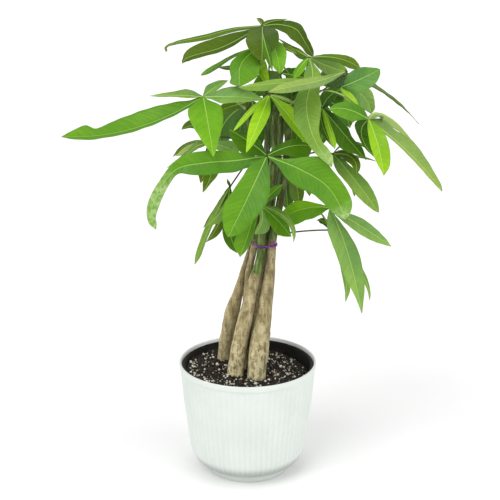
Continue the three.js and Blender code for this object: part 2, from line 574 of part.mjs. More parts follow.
function nurseryPot() {
  const rings = [
    [49, 11.5], [54.8, 14.6], [76.2, 131.2], [78.9, 132.4], [NURSERY_RIM_R, NURSERY_TOP - 0.4],
    [78.8, NURSERY_TOP], [77.2, NURSERY_TOP], WALL_TOP, WALL_FOOT, [48.6, 12.8],
  ].map(([radius, z]) => level(radius, z, NURSERY_SIDES));
  const floor = new THREE.Vector3(0, 0, 12.8);
  let pot = solid(ringSolid(rings, new THREE.Vector3(0, 0, 11.5), floor));
  for (let k = 0; k < DRAIN_HOLES; k++) {
    const angle = (2 * Math.PI * (k + 0.5)) / DRAIN_HOLES;
    const drill = new THREE.CylinderGeometry(DRAIN_HOLE_R, DRAIN_HOLE_R, 8, 10);
    drill.rotateX(Math.PI / 2);
    drill.translate(DRAIN_RING_R * Math.cos(angle), DRAIN_RING_R * Math.sin(angle), 12);
    pot = pot.subtract(solid(drill));
  }
  return pot;
}

function soilLevel(x, y) {
  const slow = Math.sin(x * 0.11 + 1.3) * Math.cos(y * 0.09 - 0.4);
  const quick = Math.sin(x * 0.31 - y * 0.23) * Math.cos(y * 0.27 + x * 0.12);
  return SOIL_TOP - SOIL_SLOPE * x + SOIL_BUMP * (0.6 * slow + 0.4 * quick);
}

function soilEdgeRadius(z) {
  const share = (z - WALL_FOOT[1]) / (WALL_TOP[1] - WALL_FOOT[1]);
  return WALL_FOOT[0] + share * (WALL_TOP[0] - WALL_FOOT[0]) - 1.5 * GAP;
}

function soil() {
  const top = [74, 58, 40, 20].map((radius, i) => {
    const ring = level(radius, 0, SOIL_SIDES);
    ring.forEach((p) => {
      const z = soilLevel(p.x, p.y);
      const fit = i === 0 ? soilEdgeRadius(z) / radius : 1;
      p.set(p.x * fit, p.y * fit, z);
    });
    return ring;
  });
  const foot = [level(48.4, 13.1, SOIL_SIDES), level(soilEdgeRadius(16.4), 16.4, SOIL_SIDES)];
  const rings = [...foot, ...top];
  const middle = new THREE.Vector3(0, 0, soilLevel(0, 0));
  let bed = solid(ringSolid(rings, new THREE.Vector3(0, 0, 13.1), middle));
  const draw = seededDraws(CRUMB_SEED);
  for (let k = 0; k < CRUMBS; k++) {
    const size = 1.3 + 1.3 * draw();
    const radius = 68 * Math.sqrt(draw());
    const angle = 2 * Math.PI * draw();
    const x = radius * Math.cos(angle);
    const y = radius * Math.sin(angle);
    const crumb = new THREE.OctahedronGeometry(size, 0);
    crumb.scale(1 + 0.5 * draw(), 1, 0.8 + 0.3 * draw());
    crumb.rotateX(0.5 * draw());
    crumb.rotateZ(2 * Math.PI * draw());
    crumb.translate(x, y, soilLevel(x, y) + 0.2 * size);
    bed = bed.add(solid(crumb));
  }
  for (const rows of Object.values(TRUNKS)) bed = bed.subtract(trunkHole(rows));
  return bed;
}

// ---------------------------------------------------------------- trunks and tie

function trunk(rows) {
  const points = rows.map(([x, z, y]) => seen(x, z, y));
  return limb(points, rows.map((row) => row[3]), TRUNK_SIDES);
}

// The room a trunk takes in the soil, a little wider and deeper than the trunk.
function trunkHole(rows) {
  const points = rows.map(([x, z, y]) => seen(x, z, y));
  const radii = rows.map((row) => row[3] + GAP + 0.15);
  points[0].z -= GAP;
  return limb(points, radii, TRUNK_SIDES);
}

// A flat band round the five stems: the hull of their outlines at the tie's height.
function tie() {
  const z = seen(TIE_KNOT[0], TIE_KNOT[1], 0).z;
  const outline = (spread) => {
    const points = [];
    for (const rows of Object.values(TRUNKS)) {
      const centres = rows.map(([x, zz, y]) => seen(x, zz, y));
      const i = centres.findIndex((p) => p.z > z) - 1;
      const share = (z - centres[i].z) / (centres[i + 1].z - centres[i].z);
      const at = centres[i].clone().lerp(centres[i + 1], share);
      for (let k = 0; k < 10; k++) {
        const angle = (2 * Math.PI * k) / 10;
        const reach = rows[i][3] + spread;
        points.push([at.x + reach * Math.cos(angle), at.y + reach * Math.sin(angle)]);
      }
    }
    return hull(points);
  };
  const inner = outline(GAP + 0.5);
  const outer = outline(GAP + 0.5 + TIE_THICK);
  const band = extruded(outer, z - TIE_HEIGHT / 2, TIE_HEIGHT);
  const room = extruded(inner, z - TIE_HEIGHT, 2 * TIE_HEIGHT);
  const knotAt = seen(...TIE_KNOT);
  const knot = new THREE.IcosahedronGeometry(TIE_KNOT_R, 0);
  knot.scale(1, 1.1, 0.8);
  knot.translate(knotAt.x, knotAt.y, knotAt.z);
  const strips = TIE_ENDS.map((rows) => {
    const points = [knotAt.clone(), ...rows.map(([x, zz, y]) => seen(x, zz, y))];
    return limb(points, [1, 0.9, 0.7], 6);
  });
  const body = fused([band.subtract(room), solid(knot).subtract(room), ...strips]);
  const stems = Object.values(TRUNKS).map((rows) => trunkHole(rows));
  return body.subtract(fused(stems));
}

function hull(points) {
  const sorted = [...points].sort((a, b) => a[0] - b[0] || a[1] - b[1]);
  const turn = (o, a, b) => (a[0] - o[0]) * (b[1] - o[1]) - (a[1] - o[1]) * (b[0] - o[0]);
  const half = (list) => {
    const chain = [];
    for (const p of list) {
      while (chain.length > 1 && turn(chain[chain.length - 2], chain[chain.length - 1], p) < 1) {
        chain.pop();
      }
      chain.push(p);
    }
    return chain.slice(0, -1);
  };
  return [...half(sorted), ...half(sorted.reverse())];
}

function extruded(outline, z, height) {
  const shape = new THREE.Shape(outline.map(([x, y]) => new THREE.Vector2(x, y)));
  const geometry = new THREE.ExtrudeGeometry(shape, { depth: height, bevelEnabled: false });
  geometry.translate(0, 0, z);
  return solid(geometry);
}

// ---------------------------------------------------------------- fronds

function throughMiddle(start, middle, end) {
  const control = middle.clone().multiplyScalar(2);
  control.addScaledVector(start, -0.5).addScaledVector(end, -0.5);
  return new THREE.QuadraticBezierCurve3(start, control, end);
}

// Half width along a leaflet, as a share of its widest.
function outlineAt(s, belly) {
  return Math.sin(Math.PI * s ** belly) ** 0.9 * (1.08 - 0.14 * s);
}

function midrib(hub, places) {
  const points = places.map((place) => seen(...place));
  if (points.length === 2) return throughMiddle(hub, points[0], points[1]);
  return new THREE.CatmullRomCurve3([hub, ...points], false, "centripetal");
}

// Sections of a leaflet: share along the midrib and the half widths to its left and right.
// A turned blade is seen narrower, and its raised margins lean to one side.
function sections(form, turn, belly, length) {
  if (Array.isArray(form)) {
    const open = Math.cos(turn);
    const lean = BLADE_KEEL * Math.sin(turn);
    const rows = form.map(([s, left, right]) => [s, left / (open - lean), right / (open + lean)]);
    return [[0, BLADE_ROOT, BLADE_ROOT], ...rows, [1, BLADE_TIP, BLADE_TIP]];
  }
  const steps = Math.min(5, Math.max(3, Math.round(length / LEAF_STEP) + 1));
  return Array.from({ length: steps + 1 }, (_, i) => {
    const s = i / steps;
    const half = Math.max(BLADE_ROOT * (1 - 0.3 * s), (form / 2) * outlineAt(s, belly));
    return [s, half, half];
  });
}

function leaflet(hub, [places, form, turn, belly], phase) {
  const rib = midrib(hub, places);
  const outward = rib.getPoint(1).x < hub.x ? 1 : -1;
  const tilt = outward * THREE.MathUtils.degToRad(turn);
  const rows = sections(form, tilt, belly, rib.getLength());
  const widest = Math.max(...rows.map((row) => row[1] + row[2]));
  const wave = BLADE_WAVE * Math.min(1, widest / 30);
  const rings = [];
  for (const [i, [s, left, right]] of rows.entries()) {
    const at = rib.getPoint(s);
    const along = rib.getTangent(s);
    const toEye = EYE.clone().sub(at);
    toEye.addScaledVector(along, -toEye.dot(along)).normalize();
    const aside = new THREE.Vector3().crossVectors(along, toEye);
    const face = toEye.multiplyScalar(Math.cos(tilt));
    face.addScaledVector(aside, Math.sin(tilt));
    const side = new THREE.Vector3().crossVectors(along, face).normalize();
    const last = i === rows.length - 1;
    const ripple = i === 0 || last ? 0 : wave * Math.sin(12 * s + phase);
    const leftUp = BLADE_KEEL * left + ripple;
    const rightUp = BLADE_KEEL * right - ripple;
    const point = (across, up) =>
      at.clone().addScaledVector(side, across).addScaledVector(face, up);
    rings.push([
      point(-left, leftUp + BLADE_EDGE / 2),
      point(0, BLADE_RIB / 2),
      point(right, rightUp + BLADE_EDGE / 2),
      point(right, rightUp - BLADE_EDGE / 2),
      point(0, -BLADE_RIB / 2),
      point(-left, leftUp - BLADE_EDGE / 2),
    ]);
  }
  return solid(bladeGeometry(rings));
}

// The two faces are split along the same diagonals, so the blade keeps its thickness.
function bladeGeometry(rings) {
  const triangles = [];
  for (let i = 0; i + 1 < rings.length; i++) {
    const a = rings[i];
    const b = rings[i + 1];
    for (let j = 0; j < 6; j++) {
      const k = (j + 1) % 6;
      if (j < 3) triangles.push([a[j], a[k], b[k]], [a[j], b[k], b[j]]);
      else triangles.push([a[j], a[k], b[j]], [a[k], b[k], b[j]]);
    }
  }
  const first = rings[0];
  const last = rings[rings.length - 1];
  for (const [p, q, r] of [[0, 5, 4], [0, 4, 1], [1, 4, 3], [1, 3, 2]]) {
    triangles.push([first[p], first[q], first[r]]);
    triangles.push([last[p], last[r], last[q]]);
  }
  return closedGeometry(triangles);
}

function frond({ stalk, hub, leaves }) {
  const centre = seen(...hub);
  const curve = throughMiddle(seen(...stalk[0]), seen(...stalk[1]), centre);
  const points = curve.getPoints(4);
  const radii = points.map((p, i) => (i === 0 ? PETIOLE_R + 0.5 : PETIOLE_R));
  const petiole = limb(points, radii, PETIOLE_SIDES);
  const knuckle = new THREE.OctahedronGeometry(HUB_R, 0);
  knuckle.translate(centre.x, centre.y, centre.z);
  const blades = leaves.map((row, i) => leaflet(centre, row, 1.7 * i));
  return fused([petiole, solid(knuckle), ...blades]);
}

// ---------------------------------------------------------------- assembly

function meshOf(name, body, colour, roughness) {
  const mesh = body.getMesh();
  const geometry = new THREE.BufferGeometry();
  const positions = new Float32Array(mesh.vertProperties);
  geometry.setAttribute("position", new THREE.BufferAttribute(positions, 3));
  geometry.setIndex(new THREE.BufferAttribute(new Uint32Array(mesh.triVerts), 1));
  geometry.computeVertexNormals();
  const material = new THREE.MeshStandardMaterial({ color: colour, roughness, metalness: 0 });
  const node = new THREE.Mesh(geometry, material);
  node.name = name;
  return node;
}

const plant = new THREE.Group();
plant.name = "potted_money_tree";
plant.add(meshOf("cover_pot", coverPot(), 0xf2f4f3, 0.35));
plant.add(meshOf("nursery_pot", nurseryPot(), 0x1b1c1d, 0.5));
plant.add(meshOf("soil", soil(), 0x2c211a, 0.95));
const trunkSolids = [];
for (const [name, rows] of Object.entries(TRUNKS)) {
  const body = trunk(rows);
  trunkSolids.push(trunkHole(rows));
  plant.add(meshOf(name, body, 0x9b8762, 0.85));
}
plant.add(meshOf("tie", tie(), 0x7a2d8c, 0.45));
const stems = fused(trunkSolids);
for (const [name, shape] of Object.entries(FRONDS)) {
  const body = frond(shape).subtract(stems);
  plant.add(meshOf(name, body, COLOURS[name] ?? LEAF_COLOUR, 0.45));
}

export default plant;
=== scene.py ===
"""Potted money tree: pots, soil, tied stems and fronds, dressed over the frame."""

import math
import random

import bmesh
import bpy
import numpy as np
from bpy.props import FloatProperty, FloatVectorProperty, IntProperty, PointerProperty
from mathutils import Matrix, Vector, noise


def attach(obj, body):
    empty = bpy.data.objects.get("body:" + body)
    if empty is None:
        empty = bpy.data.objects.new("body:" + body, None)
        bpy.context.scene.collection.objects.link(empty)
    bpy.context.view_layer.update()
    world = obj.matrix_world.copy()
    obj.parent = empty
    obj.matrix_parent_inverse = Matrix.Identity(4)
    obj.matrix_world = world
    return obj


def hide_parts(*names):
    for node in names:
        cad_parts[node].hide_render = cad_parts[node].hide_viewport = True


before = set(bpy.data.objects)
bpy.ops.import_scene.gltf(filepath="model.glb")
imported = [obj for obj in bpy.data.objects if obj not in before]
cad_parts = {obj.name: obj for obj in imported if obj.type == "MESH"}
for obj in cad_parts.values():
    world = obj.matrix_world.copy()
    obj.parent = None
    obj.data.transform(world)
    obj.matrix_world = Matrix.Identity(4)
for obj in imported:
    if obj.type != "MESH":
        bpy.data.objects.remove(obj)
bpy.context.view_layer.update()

bl_info = {
    "name": "Potted money tree",
    "version": (1, 0, 0),
    "blender": (4, 5, 0),
    "location": "View3D > Sidebar > Money tree",
    "description": "Builds a potted money tree piece by piece, with its materials and stage",
    "category": "Add Mesh",
}

MM = 0.001
BODY = "root"

# ---------------------------------------------------------------- places, in millimetres

# Places are read on the upright plane through the pot's axis, as the eye below sees them,
# and are then moved along the line of sight to their depth y (negative is nearer).
EYE_MM = np.array([0.0, -1500.0, 759.0])
TARGET_MM = np.array([2.7, 0.0, 278.6])

# Trunk and green stem in one: rows of x, z, y and radius, from the root end up.
TRUNKS = {
    "trunk_left": [
        (-29, 110, 33, 8.5), (-28.5, 138, 32, 8.2), (-27, 160, 30, 8), (-22.5, 180, 28, 8.7),
        (-18.7, 200, 25, 8.9), (-13, 220, 22, 7), (-7.2, 240, 19, 5.2), (-2.4, 258, 17, 4.8),
        (2.6, 274, 16, 4.5), (4.8, 286, 15.5, 4.4), (6, 310, 18, 4.2), (7, 345, 24, 4),
        (5, 385, 31, 3.7), (2, 430, 37, 3.2), (0, 468, 39, 2.5),
    ],
    "trunk_front": [
        (-16, 95, -14, 9.5), (-15, 122, -14, 9.6), (-11, 150, -14, 9.7), (-7, 170, -13, 9.8),
        (-3, 190, -13, 9.4), (3.5, 220, -12, 7.6), (8, 240, -11, 6.9), (12.5, 257, -10, 5.5),
        (15.5, 275, -9, 4.7), (16, 286, -8.5, 4.4), (18, 312, -9, 4.4), (24, 340, -10, 4.5),
        (30, 370, -12, 4.6), (31.8, 410, -11, 4.2), (32.5, 450, -8, 3.2),
    ],
    "trunk_right": [
        (10, 95, -20, 10.7), (11.2, 125, -20, 10.9), (13.2, 150, -19, 12),
        (15.2, 170, -17, 10.9), (20, 200, -13, 9), (21.7, 220, -11, 8.3), (24.3, 240, -8, 7.4),
        (26.3, 260, -5, 6.2), (28, 275, -3, 5.3), (28.6, 286, -2, 4.9), (33, 312, -1, 4.5),
        (39, 345, -2, 4.4), (44, 380, -2, 4.2), (47, 420, 2, 3.8), (50, 452, 6, 3),
    ],
    "trunk_back": [
        (-3, 110, 14, 5.8), (-2.5, 150, 13, 5.5), (-1.5, 190, 11, 5.2), (-0.5, 225, 9, 4.8),
        (1.5, 250, 7.5, 4.4), (4.6, 268, 6.5, 4.2), (8.2, 286, 6, 4.2), (12.5, 312, 6, 4.1),
        (16, 345, 8, 4), (21, 385, 10, 3.8), (23, 425, 12, 3.4), (22, 470, 14, 2.6),
    ],
    "trunk_inner": [
        (8.2, 108, 10, 5), (7.6, 150, 10, 4.9), (7.8, 185, 9, 4.8), (10.6, 215, 8, 4.5),
        (15.4, 240, 8, 4.2), (19, 258, 8, 4), (21.5, 274, 8, 3.8), (22.8, 286, 8, 3.7),
        (26, 312, 10, 3.6), (30, 345, 13, 3.5), (35, 385, 16, 3.3), (39, 425, 18, 3),
        (41, 462, 19, 2.4),
    ],
}

# One frond each: the foot and the middle of its petiole, its hub, and its leaflets. A leaflet
# is its midrib's places after the hub (the tip last), its form, its turn in degrees (0 faces
# the eye, 90 faces up or out), its tone and, for some, the share from which its hanging end
# takes a painted sheen.
# The form is a list of share along the midrib and half widths seen at its left and right
# hand, or the full width and where it is broadest (over 1 is nearer the tip).
FRONDS = {
    "frond_crown": ([(22, 474, 14), (17, 510, 22)], (16, 541.5, 5), [
        ([(-17, 537.8, 5), (-48, 529.5, 8), (-80, 522.8, 14), (-91, 518.2, 16),
         (-91.7, 512.5, 18)], [(0.1, 2.7, 1.4), (0.25, 3.7, 1.9), (0.4, 3.6, 2.1),
         (0.6, 2.3, 1.8), (0.8, 1.2, 1.2), (0.93, 1.2, 1.2)], 50, "olive"),
        ([(-28.7, 517.5, -30), (-69, 504.8, -40), (-74, 499.2, -41)], [(0.06, 2, 2.4),
         (0.15, 2.3, 6.6), (0.25, 3.2, 10.4), (0.35, 3.9, 12.2), (0.45, 4.2, 12.2),
         (0.55, 4.3, 10.6), (0.62, 4, 7.6), (0.68, 3.2, 4.6), (0.75, 2.2, 2.4),
         (0.87, 1.4, 1.8)], 40, "dusk"),
        ([(16.5, 523.5, -38), (16, 501, -60)], [(0.15, 10.5, 12.5), (0.35, 17, 17),
         (0.55, 18, 18), (0.8, 11, 12), (0.93, 5, 5)], 5, "dusk"),
        ([(35, 543, -5), (54.2, 537.6, -10), (63.8, 524, -8), (74, 507, 0)], [(0.1, 2.4, 2.2),
         (0.25, 4.2, 5.2), (0.4, 6.6, 9), (0.5, 7.8, 12.2), (0.62, 6.2, 9.6), (0.75, 4.6, 5.8),
         (0.9, 4.2, 4.6), (0.96, 2.8, 2.4)], 30, "dusk"),
        ([(27, 546.3, 15), (44.5, 549, 35)], [(0.3, 3, 1.5), (0.6, 2, 2.2), (0.85, 1, 1)], 30,
         "dusk"),
        ([(14.3, 546, 12), (10, 550, 22)], [(0.5, 1.5, 4), (0.8, 1, 2.4)], 20, "dusk"),
        ([(19, 523.5, -58), (23.4, 507.8, -74), (28, 491, -84)], [(0.3, 0.8, 0.8),
         (0.42, 3.2, 2.6), (0.6, 3.8, 4.4), (0.8, 2.6, 3)], 15, "deep"),
    ]),
    "frond_under_crown": ([(22, 460, 9), (24, 490, -2)], (25, 519.5, -15), [
        ([(3.7, 515, -18), (-18.7, 505.8, -14), (-41.3, 492.6, -8), (-53, 486, 0)],
         [(0.12, 1.5, 1), (0.25, 2.2, 1.2), (0.4, 1, 1.8), (0.5, 1.4, 2.2), (0.62, 3, 2.6),
         (0.75, 3.2, 3), (0.88, 2, 2.2), (0.95, 1.2, 1.4)], 45, "leaf"),
        ([(-3, 499, 2), (-34, 495.4, 12)], [(0.4, 1.8, 1), (0.62, 2, 1), (0.8, 2.8, 2),
         (0.9, 2, 1.4)], 40, "dusk"),
        ([(2.6, 510, -32), (-8.7, 494.3, -52), (-8.7, 472.8, -64)], [(0.15, 4, 2.4),
         (0.33, 11, 5.6), (0.5, 17, 8.4), (0.66, 21.4, 11), (0.82, 22, 9.4), (0.94, 16, 9.5)],
         20, "leaf"),
        ([(9.3, 503.5, -24), (14.9, 493.3, -40), (24, 473.8, -50)], [(0.15, 4, 3), (0.33, 7, 4),
         (0.6, 9, 5), (0.8, 6, 4.5), (0.93, 2.5, 2.5)], 20, "bright"),
        ([(31.8, 512, -42), (36.5, 487.5, -54)], [(0.2, 8.5, 7.4), (0.45, 11, 10.2),
         (0.7, 9, 9), (0.9, 5.5, 5.5)], 30, "fresh"),
        ([(35, 503.3, -26), (48.2, 486.3, -30)], [(0.5, 1.2, 1.2), (0.8, 1, 1)], 30, "dusk"),
        ([(39.6, 517.3, -20), (55.4, 510, -25)], [(0.3, 4, 1.8), (0.6, 4.2, 2),
         (0.85, 2.6, 1.2)], 30, "olive"),
    ]),
    "frond_upper_right": ([(50, 456, 5), (62, 480, 0)], (69.5, 506, -20), [
        ([(54.2, 514.5, -12), (34.6, 527.4, 0)], [(0.1, 5, 1.5), (0.25, 6.2, 2.4),
         (0.4, 5.2, 3.2), (0.65, 2.8, 2.2), (0.85, 1, 1)], 30, "olive"),
        ([(59.9, 495.5, -30), (52, 480.9, -38)], [(0.3, 3.5, 2.8), (0.6, 5.5, 4),
         (0.85, 3.4, 3.2)], 25, "fresh"),
        ([(73.4, 486.2, -50), (67, 451.8, -76), (74.4, 416.9, -104), (97, 379.3, -146)],
         [(0.1, 3, 3), (0.25, 9, 9), (0.38, 11, 9.5), (0.5, 16, 13), (0.62, 13.5, 14.5),
         (0.75, 7.6, 9.5), (0.84, 6, 7.4), (0.9, 7.4, 5.6), (0.96, 6, 2.6)], 8, "sage", 0.84),
        ([(101.6, 505, -12), (127.5, 493.3, -4)], [(0.2, 2, 3), (0.45, 4.4, 5), (0.7, 5.6, 6),
         (0.88, 4.4, 3.8)], 40, "olive"),
        ([(92.6, 495.5, 5), (113.2, 489.9, 15)], [(0.12, 3, 3.5), (0.3, 6.5, 8),
         (0.55, 9, 10.5), (0.8, 7, 7), (0.93, 4.2, 3)], 20, "sage"),
    ]),
    "frond_across": ([(49, 450, 6), (84, 468, 4)], (111, 490, -28), [
        ([(83, 480, -66), (55, 474, -96), (23, 466.5, -112)], [(0.1, 2, 2.2), (0.2, 3.6, 3.4),
         (0.33, 5, 4.6), (0.5, 6.2, 5.6), (0.66, 6.6, 6.2), (0.85, 4.5, 4.5)], 40, "pale"),
        ([(84, 480, -64), (36, 476.8, -94), (-11, 472, -102)], [(0.2, 2, 2), (0.4, 3, 3.6),
         (0.66, 6, 4.8), (0.82, 6, 3), (0.93, 4, 1.6)], 40, "sage"),
    ]),
    "frond_shoulder": ([(54, 444, 7), (84, 456, 6)], (105, 472, -38), [
        ([(127.2, 481.2, -42), (149.4, 492.6, -38)], [(0.15, 3.4, 4.5), (0.3, 10.8, 13),
         (0.5, 12.5, 13), (0.7, 10.2, 12), (0.88, 5.8, 7.4), (0.96, 3, 3.4)], 22, "blue"),
        ([(112.7, 463.4, -58), (126.5, 451.3, -68)], [(0.3, 2.5, 2.5), (0.6, 4.5, 4.5),
         (0.85, 3, 3)], 20, "bright"),
        ([(129.6, 463.4, -18), (140.9, 441.6, -22)], [(0.2, 4, 5), (0.4, 9, 9), (0.6, 11, 11),
         (0.8, 7, 9), (0.94, 4, 4.4)], 20, "mist"),
    ]),
    "frond_far_right": ([(36, 440, -8), (88, 468.5, -60)], (138, 435, -72), [
        ([(185.6, 395.8, -70), (225.8, 349.8, -66)], [(0.1, 8.6, 1), (0.25, 8.4, 2),
         (0.45, 12.4, 2.6), (0.65, 9, 2.2), (0.85, 5.6, 2.4), (0.95, 3.6, 1.2)], 35, "pale"),
        ([(145.7, 441.8, -62), (168.3, 432.6, -50), (191.5, 405.8, -42)], [(0.08, 2.4, 5),
         (0.2, 2.2, 8), (0.4, 1.3, 7.6), (0.6, 0.5, 7.4), (0.75, 0.7, 5.4), (0.88, 0.8, 2.6)],
         40, "grey"),
        ([(149.9, 404, -96), (157.5, 369, -112)], [(0.15, 7, 4.5), (0.35, 10.6, 7),
         (0.55, 11.4, 8), (0.75, 9.8, 6), (0.9, 6.2, 2.5)], 15, "bright"),
        ([(130.4, 416.5, -66), (147, 390, -72)], [(0.1, 4, 6), (0.2, 5.5, 8.5), (0.35, 7.5, 6),
         (0.5, 8, 3.6), (0.65, 7, 2.6), (0.85, 3, 1.6)], 20, "deep"),
        ([(114, 446.6, -84), (92.4, 446.6, -92)], [(0.1, 3, 5), (0.2, 6, 7), (0.3, 8.5, 8),
         (0.5, 11, 8.4), (0.75, 9.6, 5.5), (0.9, 5, 2.5)], 25, "leaf"),
    ]),
    "frond_left": ([(-3, 448, 34), (-28, 462, -10)], (-50.5, 461, -55), [
        ([(-88.3, 440.2, -60), (-128.5, 425, -64), (-171, 416.3, -68), (-213.3, 414.5, -70)],
         [(0.08, 2.6, 4.2), (0.16, 3.2, 9.8), (0.3, 2.2, 14.2), (0.44, 2.3, 15.6),
         (0.585, 4, 14.8), (0.66, 4, 13), (0.725, 4, 9.4), (0.765, 3.8, 8.2), (0.83, 3.4, 11.8),
         (0.895, 2.4, 9), (0.95, 1.6, 5)], 50, "leaf"),
        ([(-81.4, 462.9, -50), (-110.9, 462.3, -44)], [(0.2, 1.9, 5.8), (0.35, 2.2, 7),
         (0.5, 2, 5.2), (0.7, 1.6, 2.8), (0.9, 1, 1)], 40, "sage"),
        ([(-39.4, 470.7, -42), (-22.3, 479.9, -30)], [(0.2, 3.2, 2.2), (0.4, 6.2, 3.8),
         (0.6, 6.2, 4), (0.8, 4.4, 2.4)], 35, "mist"),
        ([(-44.8, 427.4, -92), (-39.3, 391, -126)], [(0.1, 7.5, 8), (0.2, 15.6, 17),
         (0.33, 17.8, 19.5), (0.5, 16, 17.4), (0.7, 10, 10.8), (0.87, 5, 4.8)], 8, "fresh"),
        ([(-14.4, 461, -60), (18.5, 458.2, -58)], [(0.15, 4.6, 3), (0.3, 9.6, 7.6),
         (0.5, 11.6, 5.8), (0.7, 9.6, 4.4), (0.88, 4.4, 2.6)], 35, "mist"),
    ]),
    "frond_young": ([(33, 452, -13), (30, 466, -45)], (24.5, 463.5, -78), [
        ([(3.8, 444.8, -90), (-16.3, 421.5, -100)], [(0.15, 1.6, 1.6), (0.5, 2.9, 2.9),
         (0.8, 2.6, 2.2), (0.94, 1.3, 1)], 25, "lime"),
        ([(13.5, 434.4, -102), (-1.9, 395.7, -128)], [(0.15, 3.8, 3.8), (0.35, 7.8, 7.5),
         (0.55, 7.8, 8.8), (0.75, 5.2, 6.5), (0.9, 3, 3)], 12, "lime"),
        ([(48, 437.9, -53), (73.9, 400.4, -50)], [(0.2, 4, 3.2), (0.4, 9, 5.8), (0.6, 10, 6.4),
         (0.8, 7, 4.5), (0.93, 2.5, 2)], 15, "lime"),
        ([(40.2, 459.3, -72), (55, 452.5, -64)], [(0.3, 1.6, 1.6), (0.6, 2, 2),
         (0.85, 1.2, 1.2)], 35, "pale"),
    ]),
    "frond_front": ([(31, 446, -14), (24, 426, -56)], (22.2, 392.2, -108), [
        ([(0.3, 343.3, -128), (-23, 294, -140)], [(0.07, 4, 6), (0.14, 8.5, 11),
         (0.33, 17.5, 14.4), (0.5, 20.5, 17), (0.7, 16.3, 19.5), (0.87, 10, 12.4),
         (0.95, 5.5, 6.8)], 8, "leaf"),
        ([(60.5, 376.3, -120), (93.4, 354.7, -130), (116.2, 315.4, -138)], [(0.12, 2.5, 5),
         (0.22, 7, 12.5), (0.33, 15, 17), (0.47, 21.6, 17.4), (0.6, 16.4, 15.8),
         (0.72, 15.2, 15.2), (0.82, 14.8, 12.6), (0.88, 13.4, 10.6), (0.94, 9, 6)], 12, "leaf",
         0.84),
        ([(-13.5, 386.9, -110), (-49.1, 384, -112), (-82.5, 376.2, -112), (-106, 345.7, -108),
         (-113.2, 319.5, -106), (-107.5, 304, -104)], [(0.08, 4, 2.4), (0.167, 11.6, 9.8),
         (0.25, 12.4, 11.5), (0.333, 13.2, 13), (0.42, 10.6, 12.4), (0.5, 5.2, 7.4),
         (0.58, 6, 4.8), (0.667, 7, 5.2), (0.75, 7, 5.2), (0.833, 5.6, 4.4), (0.93, 3.8, 3.4)],
         14, "leaf", 0.5),
        ([(3.8, 407.5, -98), (-21, 423.2, -90)], [(0.15, 7, 3), (0.3, 12, 6.5), (0.5, 14, 9),
         (0.75, 11, 6), (0.9, 6, 2.5)], 25, "deep"),
        ([(49.2, 403.5, -96), (75, 403.5, -90)], [(0.15, 3, 4), (0.3, 5.5, 8.4), (0.5, 7, 12),
         (0.75, 5, 14.6), (0.9, 2, 10.4)], 30, "deep"),
        ([(2.6, 382.8, -84), (-18.1, 376.4, -66)], [(0.3, 5, 5), (0.6, 3, 7), (0.85, 2, 3)], 20,
         "leaf"),
        ([(9.7, 330.1, -114), (-9, 270.2, -124)], [(0.3, 3, 6), (0.5, 3.5, 8.6),
         (0.65, 4.5, 13), (0.8, 5.5, 11.8), (0.92, 4, 10)], 10, "leaf"),
    ]),
    "frond_low_right": ([(36, 318, -6), (66, 330, -44)], (95.5, 330, -72), [
        ([(117.7, 274.8, -82), (136.3, 199, -86)], [(0.1, 1.6, 7.6), (0.2, 4.2, 12),
         (0.35, 8.8, 13.4), (0.5, 12, 12.4), (0.65, 11.4, 10.8), (0.8, 9.4, 6),
         (0.92, 4.6, 2.2)], 18, "mist"),
        ([(132.6, 307.5, -82), (168.6, 283, -84)], [(0.15, 4, 4), (0.3, 6.4, 6.4),
         (0.45, 8, 7.2), (0.6, 7.6, 7.6), (0.75, 6.5, 6.6), (0.9, 3.4, 3)], 30, "mist"),
        ([(68, 329.5, -60), (38, 318, -46)], [(0.15, 8, 2.4), (0.3, 12.6, 4.6), (0.5, 13, 8.6),
         (0.7, 14, 10.4), (0.85, 12, 8), (0.95, 6, 4)], 22, "fresh"),
    ]),
    "frond_low_right_back": ([(36, 298, 0), (68, 302, -14)], (97, 303, -28), [
        ([(113.8, 254, -34), (116.6, 214, -32)], [(0.3, 4, 3), (0.5, 5, 3.5), (0.7, 5, 2.5),
         (0.85, 4, 1.5), (0.95, 1.5, 1)], 25, "sage"),
        ([(134, 252, -14), (145.2, 216, -10)], [(0.4, 3, 3), (0.6, 3, 3), (0.8, 2, 1.8),
         (0.93, 1, 1)], 30, "sage"),
        ([(88.5, 313.6, -24), (80.8, 314.8, -20)], [(0.35, 3, 4.5), (0.6, 3.5, 3.5),
         (0.85, 1.2, 1.2)], 30, "deep"),
        ([(88, 320.3, -26), (82.2, 323.3, -22)], [(0.5, 1, 1)], 20, "dusk"),
    ]),
    "frond_mid_right": ([(47, 384, -6), (75, 396, -24)], (98.3, 394.5, -34), [
        ([(126.8, 360.1, -52), (152.7, 324.5, -56)], [(0.08, 3.4, 5), (0.25, 6, 9.4),
         (0.4, 8.5, 9.4), (0.55, 9.6, 9), (0.7, 8.8, 7.8), (0.85, 6.8, 5.4), (0.95, 3.6, 2.6)],
         26, "sage"),
        ([(112, 393.4, -38), (128.2, 388.7, -34)], [(0.25, 4.6, 1.5), (0.5, 5, 4), (0.75, 4, 3),
         (0.9, 2, 2)], 25, "olive"),
        ([(120.2, 390, -54), (125.8, 370.2, -60)], [(0.25, 2, 4.5), (0.4, 3, 6.5), (0.6, 5, 7),
         (0.75, 5, 5), (0.9, 3, 2.4)], 20, "olive"),
        ([(117.6, 408, -28), (143, 398, -20)], [(0.3, 1, 1), (0.6, 1.5, 1.5), (0.85, 1.2, 1.2)],
         40, "dusk"),
        ([(127, 391.6, -24), (148, 385.8, -16)], [(0.5, 1.2, 1.2), (0.8, 0.9, 0.9)], 40,
         "dusk"),
        ([(117, 364, -40), (124, 344, -44)], [(0.4, 2.2, 1), (0.8, 2.4, 1.2), (0.92, 1.6, 1)],
         20, "sage"),
    ]),
